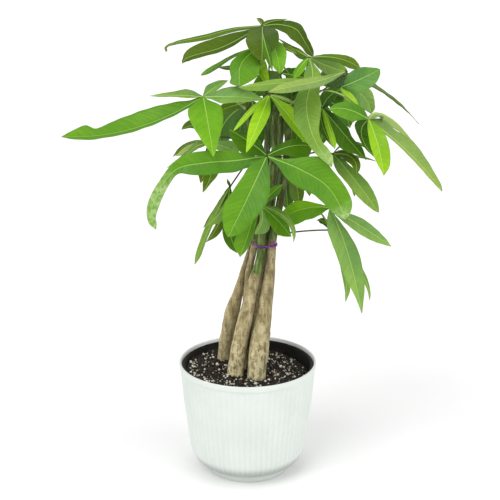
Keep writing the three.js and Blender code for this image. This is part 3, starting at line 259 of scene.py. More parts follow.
    "frond_right_inner": ([(51, 444, 4), (68, 449, -18)], (84.7, 448.3, -36), [
        ([(109.3, 419.2, -56), (136.4, 387.5, -66)], [(0.2, 6, 5), (0.35, 7.4, 8),
         (0.5, 8, 11.6), (0.6, 5, 12.5), (0.7, 4.4, 11.5), (0.82, 6, 6), (0.93, 3.4, 1.5)], 22,
         "deep"),
        ([(92.5, 428, -66), (100.2, 400.5, -82)], [(0.3, 2.5, 3), (0.5, 2.4, 4),
         (0.75, 3.4, 3.4), (0.9, 3, 2.6)], 15, "bright"),
        ([(85, 429.8, -56), (98, 403, -62)], [(0.3, 8, 5), (0.55, 11, 6), (0.8, 8.6, 3)], 20,
         "deep"),
        ([(93.3, 462, -48), (106, 469.5, -60)], [(0.2, 7, 5), (0.4, 9, 6), (0.6, 8, 7),
         (0.8, 4.4, 4)], 20, "deep"),
    ]),
    "frond_low_left": ([(4, 392, 32), (-8.5, 373.5, 12)], (-20.5, 355.5, 0), [
        ([(-33.3, 332.5, 8), (-51.8, 306.2, 16)], [(0.1, 1.4, 2.6), (0.25, 2, 3),
         (0.5, 3.5, 3.4), (0.8, 2.5, 2.8)], 40, "dusk"),
        ([(-25.8, 335, 0), (-38.2, 313, 4)], [(0.3, 2.5, 2.5), (0.6, 4.5, 4), (0.85, 2.5, 2)],
         30, "deep"),
        ([(-28.7, 330, -14), (-49.3, 307.4, -24)], [(0.25, 2, 1.5), (0.45, 5, 2), (0.6, 9, 2.5),
         (0.75, 8, 2.5), (0.9, 3.5, 1.5)], 20, "sage"),
        ([(-43.5, 309.3, -4), (-62.6, 260.6, -10)], [(0.3, 2, 4), (0.5, 2.4, 4.8),
         (0.7, 3, 4.4), (0.9, 3, 2.8)], 35, "sage"),
        ([(-32, 315, -8), (-48.8, 288.5, -14)], [(0.4, 3.5, 3.2), (0.6, 6.7, 3.2),
         (0.8, 4.8, 2.4), (0.92, 1.8, 1.2)], 20, "olive"),
        ([(-23, 313, -30), (-12.6, 275, -50)], [(0.12, 5, 2), (0.3, 8, 3.5), (0.5, 10, 5.2),
         (0.7, 9, 8.6), (0.88, 4.6, 6)], 15, "deep"),
        ([(-22, 360, 6), (-24, 365, 8)], [(0.5, 1.7, 1.7)], 20, "deep"),
    ]),
    "frond_low_front": ([(18, 322, -13), (15, 333, -34)], (15.5, 332.3, -55), [
        ([(33.2, 316.7, -66), (51, 295, -76)], [(0.15, 5, 3), (0.35, 11, 7.5), (0.55, 11, 9.5),
         (0.75, 7, 10.5), (0.9, 3, 7.4)], 12, "leaf"),
        ([(16.7, 313, -60), (8, 298.2, -66)], [(0.3, 5, 3), (0.55, 10, 3), (0.75, 9, 3),
         (0.9, 4, 2)], 20, "mist"),
        ([(46, 316, -80), (54, 288, -80)], (10, 1), 45, "sage"),
        ([(28.2, 347.5, -50), (40.4, 358.4, -46)], [(0.3, 4, 4), (0.5, 6, 6.5),
         (0.75, 3.5, 4.5), (0.9, 1.5, 2)], 25, "leaf"),
    ]),
    "frond_mid_left": ([(1, 398, 31), (-22, 414, 20)], (-45.5, 407.5, 4), [
        ([(-55, 410, 10), (-71.5, 405, 14), (-86, 391.5, 16)], [(0.33, 0.6, 1), (0.66, 2.4, 2),
         (0.85, 2, 2)], 40, "dusk"),
        ([(-57.1, 404.5, 2), (-68.7, 395.7, 0), (-93, 378.1, -4)], [(0.2, 3, 4.6),
         (0.4, 3, 4.6), (0.6, 2.2, 2.8), (0.8, 1.5, 1.5), (0.93, 0.9, 0.9)], 35, "sage"),
        ([(-61.7, 402.7, 8), (-82.5, 392.2, 10)], [(0.3, 3, 3.6), (0.6, 4.5, 4.6),
         (0.85, 3, 3)], 25, "grey"),
        ([(-57.9, 426.3, 16), (-75.6, 423.4, 24)], [(0.3, 3, 5.5), (0.5, 3, 8), (0.75, 2.5, 7),
         (0.9, 1.6, 4)], 30, "dusk"),
        ([(-29.5, 404, -30), (-9, 394, -34)], [(0.2, 2.5, 2), (0.5, 7, 6), (0.75, 9, 5),
         (0.9, 5, 2.5)], 20, "mist"),
        ([(-47.5, 384, -10), (-54.5, 360, -16)], [(0.4, 3.6, 4.4), (0.6, 4.2, 7),
         (0.8, 3.4, 6.4), (0.92, 1.8, 3.2)], 20, "olive"),
        ([(-41, 378, -22), (-52, 348.8, -28)], [(0.35, 8, 5.4), (0.6, 7.6, 8.4), (0.8, 3, 6.8),
         (0.92, 1.4, 3.6)], 20, "olive"),
    ]),
    "frond_far_back": ([(52, 456, 10), (84, 476, 26)], (112, 488, 40), [
        ([(158.2, 464.5, 46), (195.6, 429.6, 52)], [(0.15, 4, 3), (0.3, 3.4, 2.8),
         (0.45, 1.9, 2.4), (0.7, 0.9, 1.2), (0.88, 0.6, 0.7)], 60, "dusk"),
        ([(122, 460, 66), (119, 431, 80)], (30, 1.1), 10, "leaf"),
        ([(96, 485, 80), (78, 482, 112)], (28, 1), 10, "deep"),
        ([(108, 470, 84), (102, 448, 116)], (26, 1), 10, "deep"),
    ]),
    "frond_back_top": ([(21, 474, 17), (30, 484, 44)], (38, 488, 72), [
        ([(22, 478, 96), (4, 461, 112)], (26, 1.1), 10, "deep"),
        ([(31, 458, 112), (25, 398, 142)], (30, 1.1), 10, "deep"),
        ([(50, 470, 110), (44, 404, 140)], (34, 1.1), 10, "deep"),
        ([(60, 484, 92), (80, 476, 104)], (20, 1), 25, "deep"),
    ]),
    "frond_back_left": ([(1, 446, 43), (2, 454, 52)], (5, 456.5, 62), [
        ([(-13.3, 451.8, 54), (-36, 443.7, 46)], [(0.2, 3, 3), (0.45, 5, 6), (0.7, 5.5, 7),
         (0.9, 4, 4)], 20, "olive"),
        ([(-27, 430, 112), (-29, 398, 132)], (32, 1.1), 10, "deep"),
        ([(-8, 430, 118), (-6, 396, 142)], (28, 1.1), 10, "deep"),
        ([(8, 436, 102), (12, 394, 122)], (30, 1.1), 10, "deep"),
    ]),
    "frond_back_middle": ([(36, 388, 20), (38, 396, 44)], (42, 392, 76), [
        ([(18, 376, 100), (2, 350, 118)], (28, 1.1), 10, "leaf"),
        ([(44, 362, 112), (47, 326, 134)], (30, 1.1), 8, "deep"),
        ([(54.8, 363.7, 106), (60, 331, 124)], [(0.2, 6, 6), (0.5, 8, 9), (0.75, 8, 10),
         (0.9, 4, 5)], 8, "olive"),
        ([(64, 374, 96), (72, 344, 112)], (25, 1), 15, "deep"),
    ]),
    "frond_back_right": ([(48, 424, 6), (66, 446, 34)], (84, 458, 62), [
        ([(64, 434, 96), (54, 402, 120)], (30, 1.1), 10, "deep"),
        ([(86, 432, 98), (84, 404, 122)], (26, 1.1), 10, "deep"),
        ([(106, 447, 84), (117, 425, 100)], (24, 1.1), 15, "deep"),
        ([(66, 460, 86), (50, 446, 104)], (22, 1), 15, "deep"),
    ]),
    "frond_back_low": ([(6, 330, 27), (2, 344, 44)], (-4, 346, 64), [
        ([(-14, 330, 78), (-22, 310, 88)], (20, 1), 20, "leaf"),
        ([(0, 322, 90), (-2, 298, 102)], (24, 1.1), 10, "deep"),
        ([(14, 328, 88), (20, 304, 104)], (22, 1.1), 10, "leaf"),
    ]),
}

# Knots and scars on the stems: stem, place seen (x, z), height and reach in millimetres.
KNOTS = [
    ("trunk_left", (-34, 186), 1.6, 6), ("trunk_left", (-24, 176), 1.0, 5),
    ("trunk_left", (-26, 163), 0.8, 4), ("trunk_left", (-17, 210), 1.0, 5),
    ("trunk_front", (-12, 154), 1.0, 6), ("trunk_front", (-14, 138), 1.1, 5),
    ("trunk_front", (0, 203), 0.7, 5), ("trunk_right", (19, 178), 1.5, 6),
    ("trunk_right", (26, 172), 1.2, 5), ("trunk_right", (9, 190), 0.9, 6),
    ("trunk_right", (16, 141), 1.0, 6), ("trunk_right", (24, 236), 0.6, 4),
]
# Height seen at which the bark gives way to green skin, for each stem.
GREEN_FROM = {
    "trunk_left": 289, "trunk_front": 252, "trunk_right": 291, "trunk_back": 288,
    "trunk_inner": 286,
}

# The pots' outlines: radius, height and how much of the flutes shows there.
COVER_OUTSIDE = [
    (0, 0, 0), (30, 0, 0), (47.9, 0, 0), (48.6, 0.3, 0), (48.9, 1, 0), (49.2, 6.6, 0),
    (49.6, 7.3, 0), (50.5, 7.8, 0), (52.6, 8.4, 0), (55, 9.6, 0), (58, 11.4, 0.1),
    (61.2, 14.1, 0.35), (63.9, 17.1, 0.7), (66.1, 20.5, 1), (68.3, 25, 1), (69.9, 30, 1),
    (70.9, 36, 1), (72, 45, 1), (73, 54, 1), (75.6, 73, 1), (78.1, 92, 1), (79.8, 111, 1),
    (81, 127, 1), (81.2, 129.6, 0.6), (81.3, 130.8, 0), (81.8, 131.4, 0), (82.4, 132, 0),
    (82.6, 133.2, 0), (82.8, 136.4, 0), (82.7, 137.7, 0), (82.3, 138.4, 0), (81.7, 138.8, 0),
]
COVER_INSIDE = [
    (80.9, 138.8, 0), (80.4, 138.4, 0), (80.1, 137.4, 0), (79.9, 132, 0), (77.8, 131, 0),
    (74.5, 85, 0), (70.2, 53, 0), (67.2, 32, 0), (63, 20.3, 0), (55.5, 13.2, 0),
    (50, 11.2, 0), (45.5, 10.8, 0), (44.5, 3, 0), (0, 3, 0),
]
NURSERY_OUTLINE = [
    (0, 11.5, 0), (49, 11.5, 0), (54.8, 14.6, 0), (76.2, 131.2, 0), (78.6, 131.8, 0),
    (79, 132.4, 0), (79.2, 134.6, 0), (78.9, 135.1, 0), (78.3, 135.2, 0), (77.4, 135.1, 0),
    (76.6, 134.6, 0), (75.2, 133, 0), (53.6, 15.9, 0), (48.6, 12.8, 0), (0, 12.8, 0),
]
POINTS_A_FLUTE, NURSERY_SIDES = 10, 192
DRAIN_HOLES, DRAIN_HOLE_R, DRAIN_RING_R, DRAIN_HEIGHT = 6, 5, 33, 12
DRILL_SIDES, DRILL_LENGTH = 24, 8

# The bed lies inside the nursery pot's wall, whose radius and height are given at both ends.
WALL_FOOT, WALL_TOP = (53.6, 15.9), (75.1, 133)
SOIL_TOP, SOIL_SLOPE, SOIL_BUMP, SOIL_CLEARANCE = 126, 0.052, 1.3, 0.35
SOIL_SIDES, SOIL_RINGS, SOIL_RADIUS = 216, 62, 75
SOIL_UNDERSIDE = [(48.4, 13.1), (53.3, 16.4), (63.5, 75)]
SOIL_MIDDLE, RING_INSET = 3, 0.3
# Lumps of the bed: how fine they are, which layer of noise they take, and their height.
SOIL_LUMPS = ((0.3, 2.0, 0.9), (0.9, 7.0, 0.5))
# The larger crumbs are those of the CAD bed, whose rule skips some draws after each place.
CRUMBS, CRUMB_SEED, CRUMB_RADIUS, UNUSED_DRAWS = 16, 11, 68, 4
STREWN_RADIUS = 71.5

# Stems, in metres: the root flare, the moss above the bed and the change to green skin.
STEM_RINGS = 150
FLARE_FROM, FLARE_REACH, FLARE_HEIGHT = 0.124, 0.02, 0.0006
MOSS_FROM, MOSS_REACH, MOSSY_STEMS = 0.13, 0.075, (1, 2)
GREEN_BLEND = 0.016
# Painted shade in the folds beside the other stems (start, reach, strength, darkest) and on
# each stem's lee side, away from the key light (direction, strength).
CREASE_FROM, CREASE_REACH, CREASE_SHADE, DARKEST = 0.0005, 0.007, 0.95, 0.93
LEE_SIDE, LEE_SHADE = np.array([0.93, -0.37]), 0.2

# The tape: its knot and the knot's two loose ends, as seen, and its turns.
TIE_KNOT = (28.5, 286.4, -10)
TIE_ENDS = (((30.5, 288, -11), (33, 290.5, -11)), ((30.5, 283, -11), (33, 280, -11)))
TIE_TURNS, TIE_PITCH, TIE_SIDES, TIE_STEPS, TIE_SEED = 3, 0.85, 10, 160, 3
# Half thickness, half width and sway of a turn; how far the first turn keeps off the
# stems and each next one lies further out; and the places tried round each stem.
TAPE_OUT, TAPE_UP, TAPE_SWING = 0.55, 0.62, 0.35
TAPE_OFF, TAPE_LAYER, STEM_TOUCHES = 1.05, 0.12, 24
KNOT_SIZE, KNOT_STRETCH = 1.9, (1.0, 0.9, 0.85)
TAIL_STEPS, TAIL_ROOT, TAIL_TIP = 14, 0.8, 0.45


def linear(red, green, blue):
    """Scene colour of an ordinary 0-255 screen colour."""
    def one(value):
        share = value / 255
        return share / 12.92 if share <= 0.04045 else ((share + 0.055) / 1.055) ** 2.4
    return (one(red), one(green), one(blue))


def colour_property(name, description, screen):
    return FloatVectorProperty(name=name, description=description, subtype="COLOR", size=3,
                               min=0.0, max=1.0, default=linear(*screen))


def length_property(name, description, default, low, high):
    return FloatProperty(name=name, description=description, default=default, min=low,
                         max=high, unit="LENGTH", subtype="DISTANCE", precision=5)


# ---------------------------------------------------------------- what a user may change

class PotSettings(bpy.types.PropertyGroup):
    flutes: IntProperty(name="Flutes", description="Upright flutes round the cover pot",
                        default=68, min=12, max=120)
    flute_depth: length_property("Flute depth", "Depth of a flute", 0.0007, 0.0, 0.003)
    cover_colour: colour_property("Cover pot", "White plastic of the cover pot",
                                  (222, 229, 223))
    cover_shade: colour_property("Cover pot shade", "Slightly cooler areas of the plastic",
                                 (215, 222, 216))
    # Painted shade in the grooves between the flutes.
    cover_groove_shade: colour_property("Cover pot grooves", "Greyer plastic between the flutes",
                                  (176, 184, 178))
    # Painted shade on the curve above the foot ring.
    cover_under_shade: colour_property("Cover pot underside", "Shaded curve above the foot ring",
                                 (120, 126, 118))
    nursery_colour: colour_property("Nursery pot", "Black plastic of the inner pot",
                                    (9, 9, 8))
    nursery_dust: colour_property("Nursery dust", "Soil dust on the inner pot", (52, 45, 39))


class SoilSettings(bpy.types.PropertyGroup):
    seed: IntProperty(name="Seed", description="Seed of the scattered bits", default=5)
    perlite: IntProperty(name="Perlite", description="Small white crumbs on the bed",
                         default=640, min=0, max=3000)
    clods: IntProperty(name="Clods", description="Dark lumps of the mix", default=520, min=0,
                       max=3000)
    chips: IntProperty(name="Chips", description="Reddish bark chips", default=80, min=0,
                       max=1000)
    dark: colour_property("Dark mix", "Moist peat", (21, 18, 12))
    light: colour_property("Light mix", "Drier crumbs of the peat", (56, 46, 33))
    perlite_colour: colour_property("Perlite", "Clean perlite", (244, 242, 230))
    perlite_stain: colour_property("Perlite stain", "Stained perlite", (146, 134, 110))
    chip_colour: colour_property("Bark chip", "Bark chips and fibres", (92, 58, 34))


class StemSettings(bpy.types.PropertyGroup):
    sides: IntProperty(name="Sides", description="Points round a stem", default=32, min=12,
                       max=96)
    relief: length_property("Bark relief", "Height of the bark's lumps", 0.0004, 0.0, 0.003)
    tan: colour_property("Tan bark", "Main bark colour", (182, 164, 122))
    beige: colour_property("Beige bark", "Pale streaks of the bark", (226, 212, 168))
    olive: colour_property("Olive bark", "Grey-olive streaks of the bark", (134, 122, 84))
    fissure: colour_property("Fissures", "Dark lines of the bark", (70, 54, 32))
    # Painted shade where the stems meet and on each stem's lee side; the darker patches of the
    # old skin take this colour too.
    crease: colour_property("Creases", "Shaded grime where the stems meet", (30, 26, 12))
    stem_brown: colour_property("Brown skin", "Old skin of the upper stems", (74, 72, 22))
    cream: colour_property("Cream patches", "Mossy patches near the soil", (246, 234, 188))
    skin: colour_property("Green skin", "Green upper stems", (138, 160, 92))
    skin_dark: colour_property("Dark green skin", "Shaded streaks of the green stems",
                               (70, 94, 34))
    tie_colour: colour_property("Tie", "Purple tape", (74, 22, 108))
    # Painted highlights on the tape's folds, knot and ends.
    tie_highlight: colour_property("Tie folds", "Pale folds of the tape", (196, 92, 190))


class FoliageSettings(bpy.types.PropertyGroup):
    blade: length_property("Blade thickness", "Thickness of a leaf blade", 0.0005, 0.0002,
                           0.002)
    rib: length_property("Midrib height", "How far the midrib stands below the blade",
                         0.0007, 0.0, 0.003)
    vein_spacing: length_property("Vein spacing", "Distance between side veins", 0.0058,
                                  0.002, 0.03)
    petiole: length_property("Petiole radius", "Radius of a leaf stalk", 0.0009, 0.0004,
                             0.003)
    vein: colour_property("Veins", "Midribs and side veins", (186, 220, 116))
    petiole_colour: colour_property("Petiole", "Older, browner leaf stalks", (66, 84, 26))
    petiole_pale: colour_property("Pale petiole", "Young leaf stalks", (158, 186, 104))
    tip_colour: colour_property("Dry tips", "Dried tips and margins", (128, 112, 70))
    # Painted sheen on the hanging ends of leaves.
    sheen: colour_property("Sheen", "Pale ends of hanging leaves", (172, 202, 130))
    # Tones of leaf. Some are lit and shaded copies of one green with the light painted in:
    # bright and pale for leaves with light on them, mist for glossy leaves with a painted
    # reflection of the room, deep for painted shade inside the crown and dusk for painted shade
    # on leaves seen from below.
    fresh: colour_property("Fresh green", "Fresh leaves", (106, 168, 14))
    bright: colour_property("Bright green", "Leaves with light on them", (132, 184, 12))
    leaf: colour_property("Leaf green", "Most leaves", (84, 142, 18))
    # Painted shade of leaves inside the crown.
    deep: colour_property("Deep green", "Leaves inside the crown", (58, 106, 8))
    lime: colour_property("Lime green", "Youngest leaves", (140, 194, 18))
    pale: colour_property("Pale green", "Leaves that face the light", (130, 164, 76))
    mist: colour_property("Misty green", "Glossy leaves that mirror the room", (116, 162, 74))
    grey: colour_property("Grey green", "Thin leaves seen flat", (150, 180, 98))
    sage: colour_property("Sage green", "Duller hanging leaves", (112, 154, 56))
    olive: colour_property("Olive green", "Leaves of the crown", (78, 112, 14))
    # Painted shade of leaves seen from below.
    dusk: colour_property("Dusky green", "Leaves seen from below", (68, 98, 14))
    blue: colour_property("Blue green", "Glossy leaves at the right", (84, 138, 54))


class StageSettings(bpy.types.PropertyGroup):
    focal: FloatProperty(name="Focal length", description="Camera focal length in millimetres",
                         default=96.34, min=20, max=300)
    floor: colour_property("Floor", "Pale floor", (255, 255, 255))
    world: FloatProperty(name="Surrounding light", description="Strength of the white room",
                         default=0.72, min=0, max=5)
    key: FloatProperty(name="Key light", description="Strength of the soft light at the left",
                       default=1.1, min=0, max=20)
    fill: FloatProperty(name="Fill light", description="Strength of the light at the right",
                        default=0.75, min=0, max=20)


SETTINGS = {
    "tree_pots": PotSettings, "tree_soil": SoilSettings, "tree_stems": StemSettings,
    "tree_foliage": FoliageSettings, "tree_stage": StageSettings,
}


# ---------------------------------------------------------------- curves and places

def seen(x, z, y):
    """Place in metres of a point read at x, z on the upright plane, moved to depth y."""
    share = 1 - y / EYE_MM[1]
    return (EYE_MM + (np.array([x, 0.0, z]) - EYE_MM) * share) * MM


def smooth_line(points, shares):
    """Centripetal Catmull-Rom curve through the points; columns after the third ride along."""
    points = np.asarray(points, float)
    ends = [2 * points[0] - points[1], 2 * points[-1] - points[-2]]
    padded = np.vstack([ends[0], points, ends[1]])
    out = []
    for share in np.atleast_1d(shares):
        place = share * (len(points) - 1)
        i = min(int(place), len(points) - 2)
        w = place - i
        p = padded[i:i + 4]
        gaps = [max(np.sum((p[k + 1][:3] - p[k][:3]) ** 2) ** 0.25, 1e-9) for k in range(3)]
        a = ((p[1] - p[0]) / gaps[0] - (p[2] - p[0]) / (gaps[0] + gaps[1])
             + (p[2] - p[1]) / gaps[1]) * gaps[1]
        b = ((p[2] - p[1]) / gaps[1] - (p[3] - p[1]) / (gaps[1] + gaps[2])
             + (p[3] - p[2]) / gaps[2]) * gaps[1]
        out.append(p[1] + a * w + (3 * (p[2] - p[1]) - 2 * a - b) * w * w
                   + (2 * (p[1] - p[2]) + a + b) * w ** 3)
    return np.array(out)


def through_middle(start, middle, end, shares):
    """Quadratic curve from start to end that passes the middle place halfway."""
    control = 2 * middle - (start + end) / 2
    s = np.asarray(shares)[:, None]
    return (1 - s) ** 2 * start + 2 * s * (1 - s) * control + s * s * end


def tangents(points):
    along = np.gradient(points, axis=0)
    return along / np.maximum(np.linalg.norm(along, axis=1), 1e-12)[:, None]


def arc_lengths(points):
    steps = np.linalg.norm(np.diff(points, axis=0), axis=1)
    return np.concatenate([[0.0], np.cumsum(steps)])


# ---------------------------------------------------------------- meshes

def placed(name, data):
    """A new object of the scene."""
    made = bpy.data.objects.new(name, data)
    bpy.context.scene.collection.objects.link(made)
    return made


class Shape:
    """Points, faces, materials and point values of one piece while it is put together."""

    def __init__(self):
        self.points, self.faces, self.slots, self.values = [], [], [], {}
        self.count = 0

    def add(self, points, faces, slot=0, **values):
        points = np.asarray(points, float).reshape(-1, 3)
        self.faces += [tuple(i + self.count for i in face) for face in faces]
        self.slots += [slot] * len(faces)
        for name, value in values.items():
            self.values.setdefault(name, []).append((self.count, np.asarray(value, float)))
        self.points.append(points)
        self.count += len(points)

    def piece(self, name, materials, sharp=None):
        mesh = bpy.data.meshes.new(name)
        points = np.vstack(self.points)
        mesh.from_pydata(points.tolist(), [], self.faces)
        for material in materials:
            mesh.materials.append(material)
        mesh.polygons.foreach_set("material_index", self.slots)
        for label, parts in self.values.items():
            width = parts[0][1].shape[1] if parts[0][1].ndim == 2 else 1
            data = np.zeros((len(points), width))
            for start, value in parts:
                data[start:start + len(value)] = value.reshape(len(value), width)
            kind, key = ("FLOAT_VECTOR", "vector") if width == 3 else ("FLOAT", "value")
            layer = mesh.attributes.new(label, kind, "POINT")
            layer.data.foreach_set(key, data.ravel().astype(np.float32))
        mesh.polygons.foreach_set("use_smooth", [True] * len(mesh.polygons))
        if sharp:
            mesh.set_sharp_from_angle(angle=math.radians(sharp))
        mesh.update()
        return placed(name, mesh)


def round_angles(sides):
    return np.arange(sides) * 2 * math.pi / sides


def circle(angles, radius, height):
    return np.stack([radius * np.cos(angles), radius * np.sin(angles),
                     np.full(len(angles), height)], 1)


def ring_faces(rings, sides):
    """Quads between rings of equal count, with a fan on a middle point at each end."""
    faces = []
    for i in range(rings - 1):
        for k in range(sides):
            j = (k + 1) % sides
            faces.append((i * sides + k, i * sides + j, (i + 1) * sides + j,
                          (i + 1) * sides + k))
    first, last = rings * sides, rings * sides + 1
    for k in range(sides):
        j = (k + 1) % sides
        faces.append((first, j, k))
        faces.append((last, (rings - 1) * sides + k, (rings - 1) * sides + j))
    return faces


def turned(outline, sides, flutes=0, depth=0.0):
    """A turned body from its outline, which starts and ends on the axis."""
    angles = round_angles(sides)
    wave = 0.5 - 0.5 * np.cos(flutes * angles)
    rings = [circle(angles, radius * MM - depth * share * wave, height * MM)
             for radius, height, share in outline[1:-1]]
    poles = [[0, 0, outline[0][1] * MM], [0, 0, outline[-1][1] * MM]]
    return np.vstack(rings + [poles]), ring_faces(len(rings), sides)


def limb_rings(points, radii, sides, bend_of=None):
    """Rings round a curve, with an even frame along it, and their poles."""
    along = tangents(points)
    across = np.array([1.0, 0, 0])
    angles = round_angles(sides)
    rings = []
    for i, centre in enumerate(points):
        u = across - along[i] * across.dot(along[i])
        u /= np.linalg.norm(u)
        v = np.cross(along[i], u)
        across = u
        way = np.outer(np.cos(angles), u) + np.outer(np.sin(angles), v)
        r = radii[i] if bend_of is None else radii[i] + bend_of(i, way, centre, radii[i])
        rings.append(centre + way * np.reshape(r, (-1, 1)))
    shape = np.vstack(rings + [[points[0]], [points[-1]]])
    return shape, ring_faces(len(points), sides)


def finish_piece(piece, slot, *nodes):
    """Let the piece ride on the part, and stand for its CAD nodes."""
    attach(piece, BODY)
    if nodes:
        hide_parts(*nodes)


# ---------------------------------------------------------------- shader wiring

class Wiring:
    """Short ways to place and join shader nodes in one tree."""

    def __init__(self, tree, material=None):
        self.tree, self.material = tree, material

    def node(self, kind, inputs=None, **settings):
        made = self.tree.nodes.new(kind)
        for key, value in settings.items():
            setattr(made, key, value)
        for key, value in (inputs or {}).items():
            self.feed(made.inputs[key], value)
        made.location = (len(self.tree.nodes) * 40, -len(self.tree.nodes) * 30)
        return made

    def feed(self, socket, value):
        if isinstance(value, bpy.types.NodeSocket):
            self.tree.links.new(value, socket)
        else:
            socket.default_value = value

    def math(self, operation, first, second=0.0, third=0.0, clamp=False):
        made = self.node("ShaderNodeMath", {0: first, 1: second, 2: third},
                         operation=operation, use_clamp=clamp)
        return made.outputs[0]

    def times(self, first, second, clamp=False):
        return self.math("MULTIPLY", first, second, clamp=clamp)

    def plus(self, first, second, clamp=False):
        return self.math("ADD", first, second, clamp=clamp)

    def minus(self, first, second):
        return self.math("SUBTRACT", first, second)

    def vector(self, operation, first, second=(0.0, 0.0, 0.0)):
        made = self.node("ShaderNodeVectorMath", {0: first, 1: second}, operation=operation)
        return made.outputs[0]

    def split(self, vector):
        return self.node("ShaderNodeSeparateXYZ", {0: vector}).outputs

    def ramp(self, value, low, high, to_low=0.0, to_high=1.0, soft=True):
        made = self.node("ShaderNodeMapRange", {"Value": value, "From Min": low,
                                                "From Max": high, "To Min": to_low,
                                                "To Max": to_high},
                         interpolation_type="SMOOTHSTEP" if soft else "LINEAR")
        return made.outputs["Result"]

    def mix(self, factor, first, second):
        made = self.node("ShaderNodeMix", data_type="RGBA")
        self.feed(made.inputs[0], factor)
        for socket, value in ((made.inputs[6], first), (made.inputs[7], second)):
            self.feed(socket, value if isinstance(value, bpy.types.NodeSocket)
                      else (*tuple(value)[:3], 1.0))
        return made.outputs[2]

    def laid(self, base, colour, mask, share):
        """The base with a colour laid over it where the mask shows, up to a share."""
        return self.mix(self.times(mask, share), base, colour)

    def noise(self, vector, scale, detail=4.0, roughness=0.55):
        made = self.node("ShaderNodeTexNoise", {"Vector": vector, "Scale": scale,
                                                "Detail": detail, "Roughness": roughness})
        return made.outputs["Fac"]

    def group(self, tree, **inputs):
        made = self.node("ShaderNodeGroup", node_tree=tree)
        for key, value in inputs.items():
            self.feed(made.inputs[key.replace("_", " ")], value)
        return made.outputs

    def mottle(self, scale, softness):
        return self.group(shared("Mottle", mottle_group), Place=self.place(), Scale=scale,
                          Softness=softness)

    def place(self):
        return self.node("ShaderNodeTexCoord").outputs["Object"]

    def attribute(self, name):
        return self.node("ShaderNodeAttribute", attribute_name=name).outputs

    def bump(self, height, strength, distance):
        return self.node("ShaderNodeBump", {"Height": height, "Strength": strength,
                                            "Distance": distance}).outputs["Normal"]

    def finish(self, colour, roughness=None, normal=None):
        """Feed the material's shader and hand the material over."""
        shader = self.tree.nodes["Principled BSDF"]
        for label, value in (("Base Color", colour), ("Roughness", roughness),
                             ("Normal", normal)):
            if value is not None:
                self.feed(shader.inputs[label], value)
        return self.material


def new_group(name, vectors, numbers, outputs):
    """An empty shader node group and its wiring; its numbers have their defaults."""
    tree = bpy.data.node_groups.new(name, "ShaderNodeTree")
    for label in vectors:
        tree.interface.new_socket(label, in_out="INPUT", socket_type="NodeSocketVector")
    for label, default in numbers.items():
        socket = tree.interface.new_socket(label, in_out="INPUT",
                                           socket_type="NodeSocketFloat")
        socket.default_value = default
    for label in outputs:
        tree.interface.new_socket(label, in_out="OUTPUT", socket_type="NodeSocketFloat")
    wiring = Wiring(tree)
    entry = wiring.node("NodeGroupInput").outputs
    leave = wiring.node("NodeGroupOutput").inputs
    return tree, wiring, entry, leave


def shared(name, build):
    """The node group of that name, made on its first use."""
    return bpy.data.node_groups.get(name) or build(name)


def mottle_group(name):
    """Broad soft patches, and a finer grain of a seventh of their size."""
    tree, w, entry, leave = new_group(
        name, ["Place"], {"Scale": 60.0, "Softness": 0.2}, ["Mask", "Fine"])
    coarse = w.noise(entry["Place"], entry["Scale"], 3.0)
    low = w.minus(0.5, entry["Softness"])
    high = w.plus(0.5, entry["Softness"])
    w.feed(leave["Mask"], w.ramp(coarse, low, high))
    fine_scale = w.times(entry["Scale"], 7.0)
    w.feed(leave["Fine"], w.noise(entry["Place"], fine_scale, 5.0, 0.65))
    return tree


def leaf_vein_group(name):
    """Masks of a leaflet's midrib, side veins, margin and tip, and its quilted relief."""
    tree, w, entry, leave = new_group(
        name, ["Millimetres", "Share"], {"Spacing": 8.0},
        ["Midrib", "Side veins", "Ribbing", "Relief", "Margin", "Tip"])
    across, along, half = w.split(entry["Millimetres"])[:3]
    side, share, seed = w.split(entry["Share"])[:3]
    off = w.math("ABSOLUTE", across)
    edge = w.math("ABSOLUTE", side)
    rib_width = w.ramp(share, 0.0, 1.0, 0.34, 0.12, soft=False)
    rib_out = w.times(rib_width, 2.2)
    w.feed(leave["Midrib"], w.ramp(off, rib_width, rib_out, 1.0, 0.0))
    reach = w.times(w.times(off, off), 0.022)
    slant = w.plus(w.times(off, 0.62), reach)
    run = w.minus(along, slant)
    wobble = w.noise(entry["Millimetres"], 0.16, 2.0)
    run = w.plus(run, w.times(wobble, 3.2))
    run = w.plus(run, w.times(w.math("SIGN", across), 1.9))
    run = w.plus(run, w.times(seed, 9.0))
    turns = w.math("DIVIDE", run, entry["Spacing"])
    gap = w.math("ABSOLUTE", w.minus(w.math("FRACT", turns), 0.5))
    line = w.ramp(w.minus(0.5, gap), 0.004, 0.036, 1.0, 0.0)
    fade = w.ramp(edge, 0.55, 1.0, 1.0, 0.12)
    veins = w.times(line, fade)
    w.feed(leave["Side veins"], veins)
    stretched = w.node("ShaderNodeCombineXYZ", {
        0: w.times(run, 0.2), 1: w.times(off, 0.045),
        2: w.plus(w.times(seed, 23.0), w.math("SIGN", across))}).outputs[0]
    w.feed(leave["Ribbing"], w.ramp(w.noise(stretched, 1.0, 4.0, 0.65), 0.36, 0.64))
    puff = w.ramp(w.minus(0.5, gap), 0.0, 0.5)
    quilt = w.times(puff, w.ramp(edge, 0.6, 1.0, 1.0, 0.35))
    grain = w.noise(entry["Millimetres"], 1.1, 3.0)
    relief = w.plus(w.times(quilt, 0.75), w.times(grain, 0.2))
    groove = w.ramp(off, 0.4, 2.2, -0.55, 0.0)
    w.feed(leave["Relief"], w.plus(relief, groove))
    margin_from = w.ramp(half, 2.0, 14.0, 0.86, 0.955)
    w.feed(leave["Margin"], w.ramp(edge, margin_from, 1.0))
    ragged = w.times(w.noise(entry["Millimetres"], 0.7, 3.0), 0.03)
    w.feed(leave["Tip"], w.ramp(w.plus(share, ragged), 0.985, 1.012))
    return tree


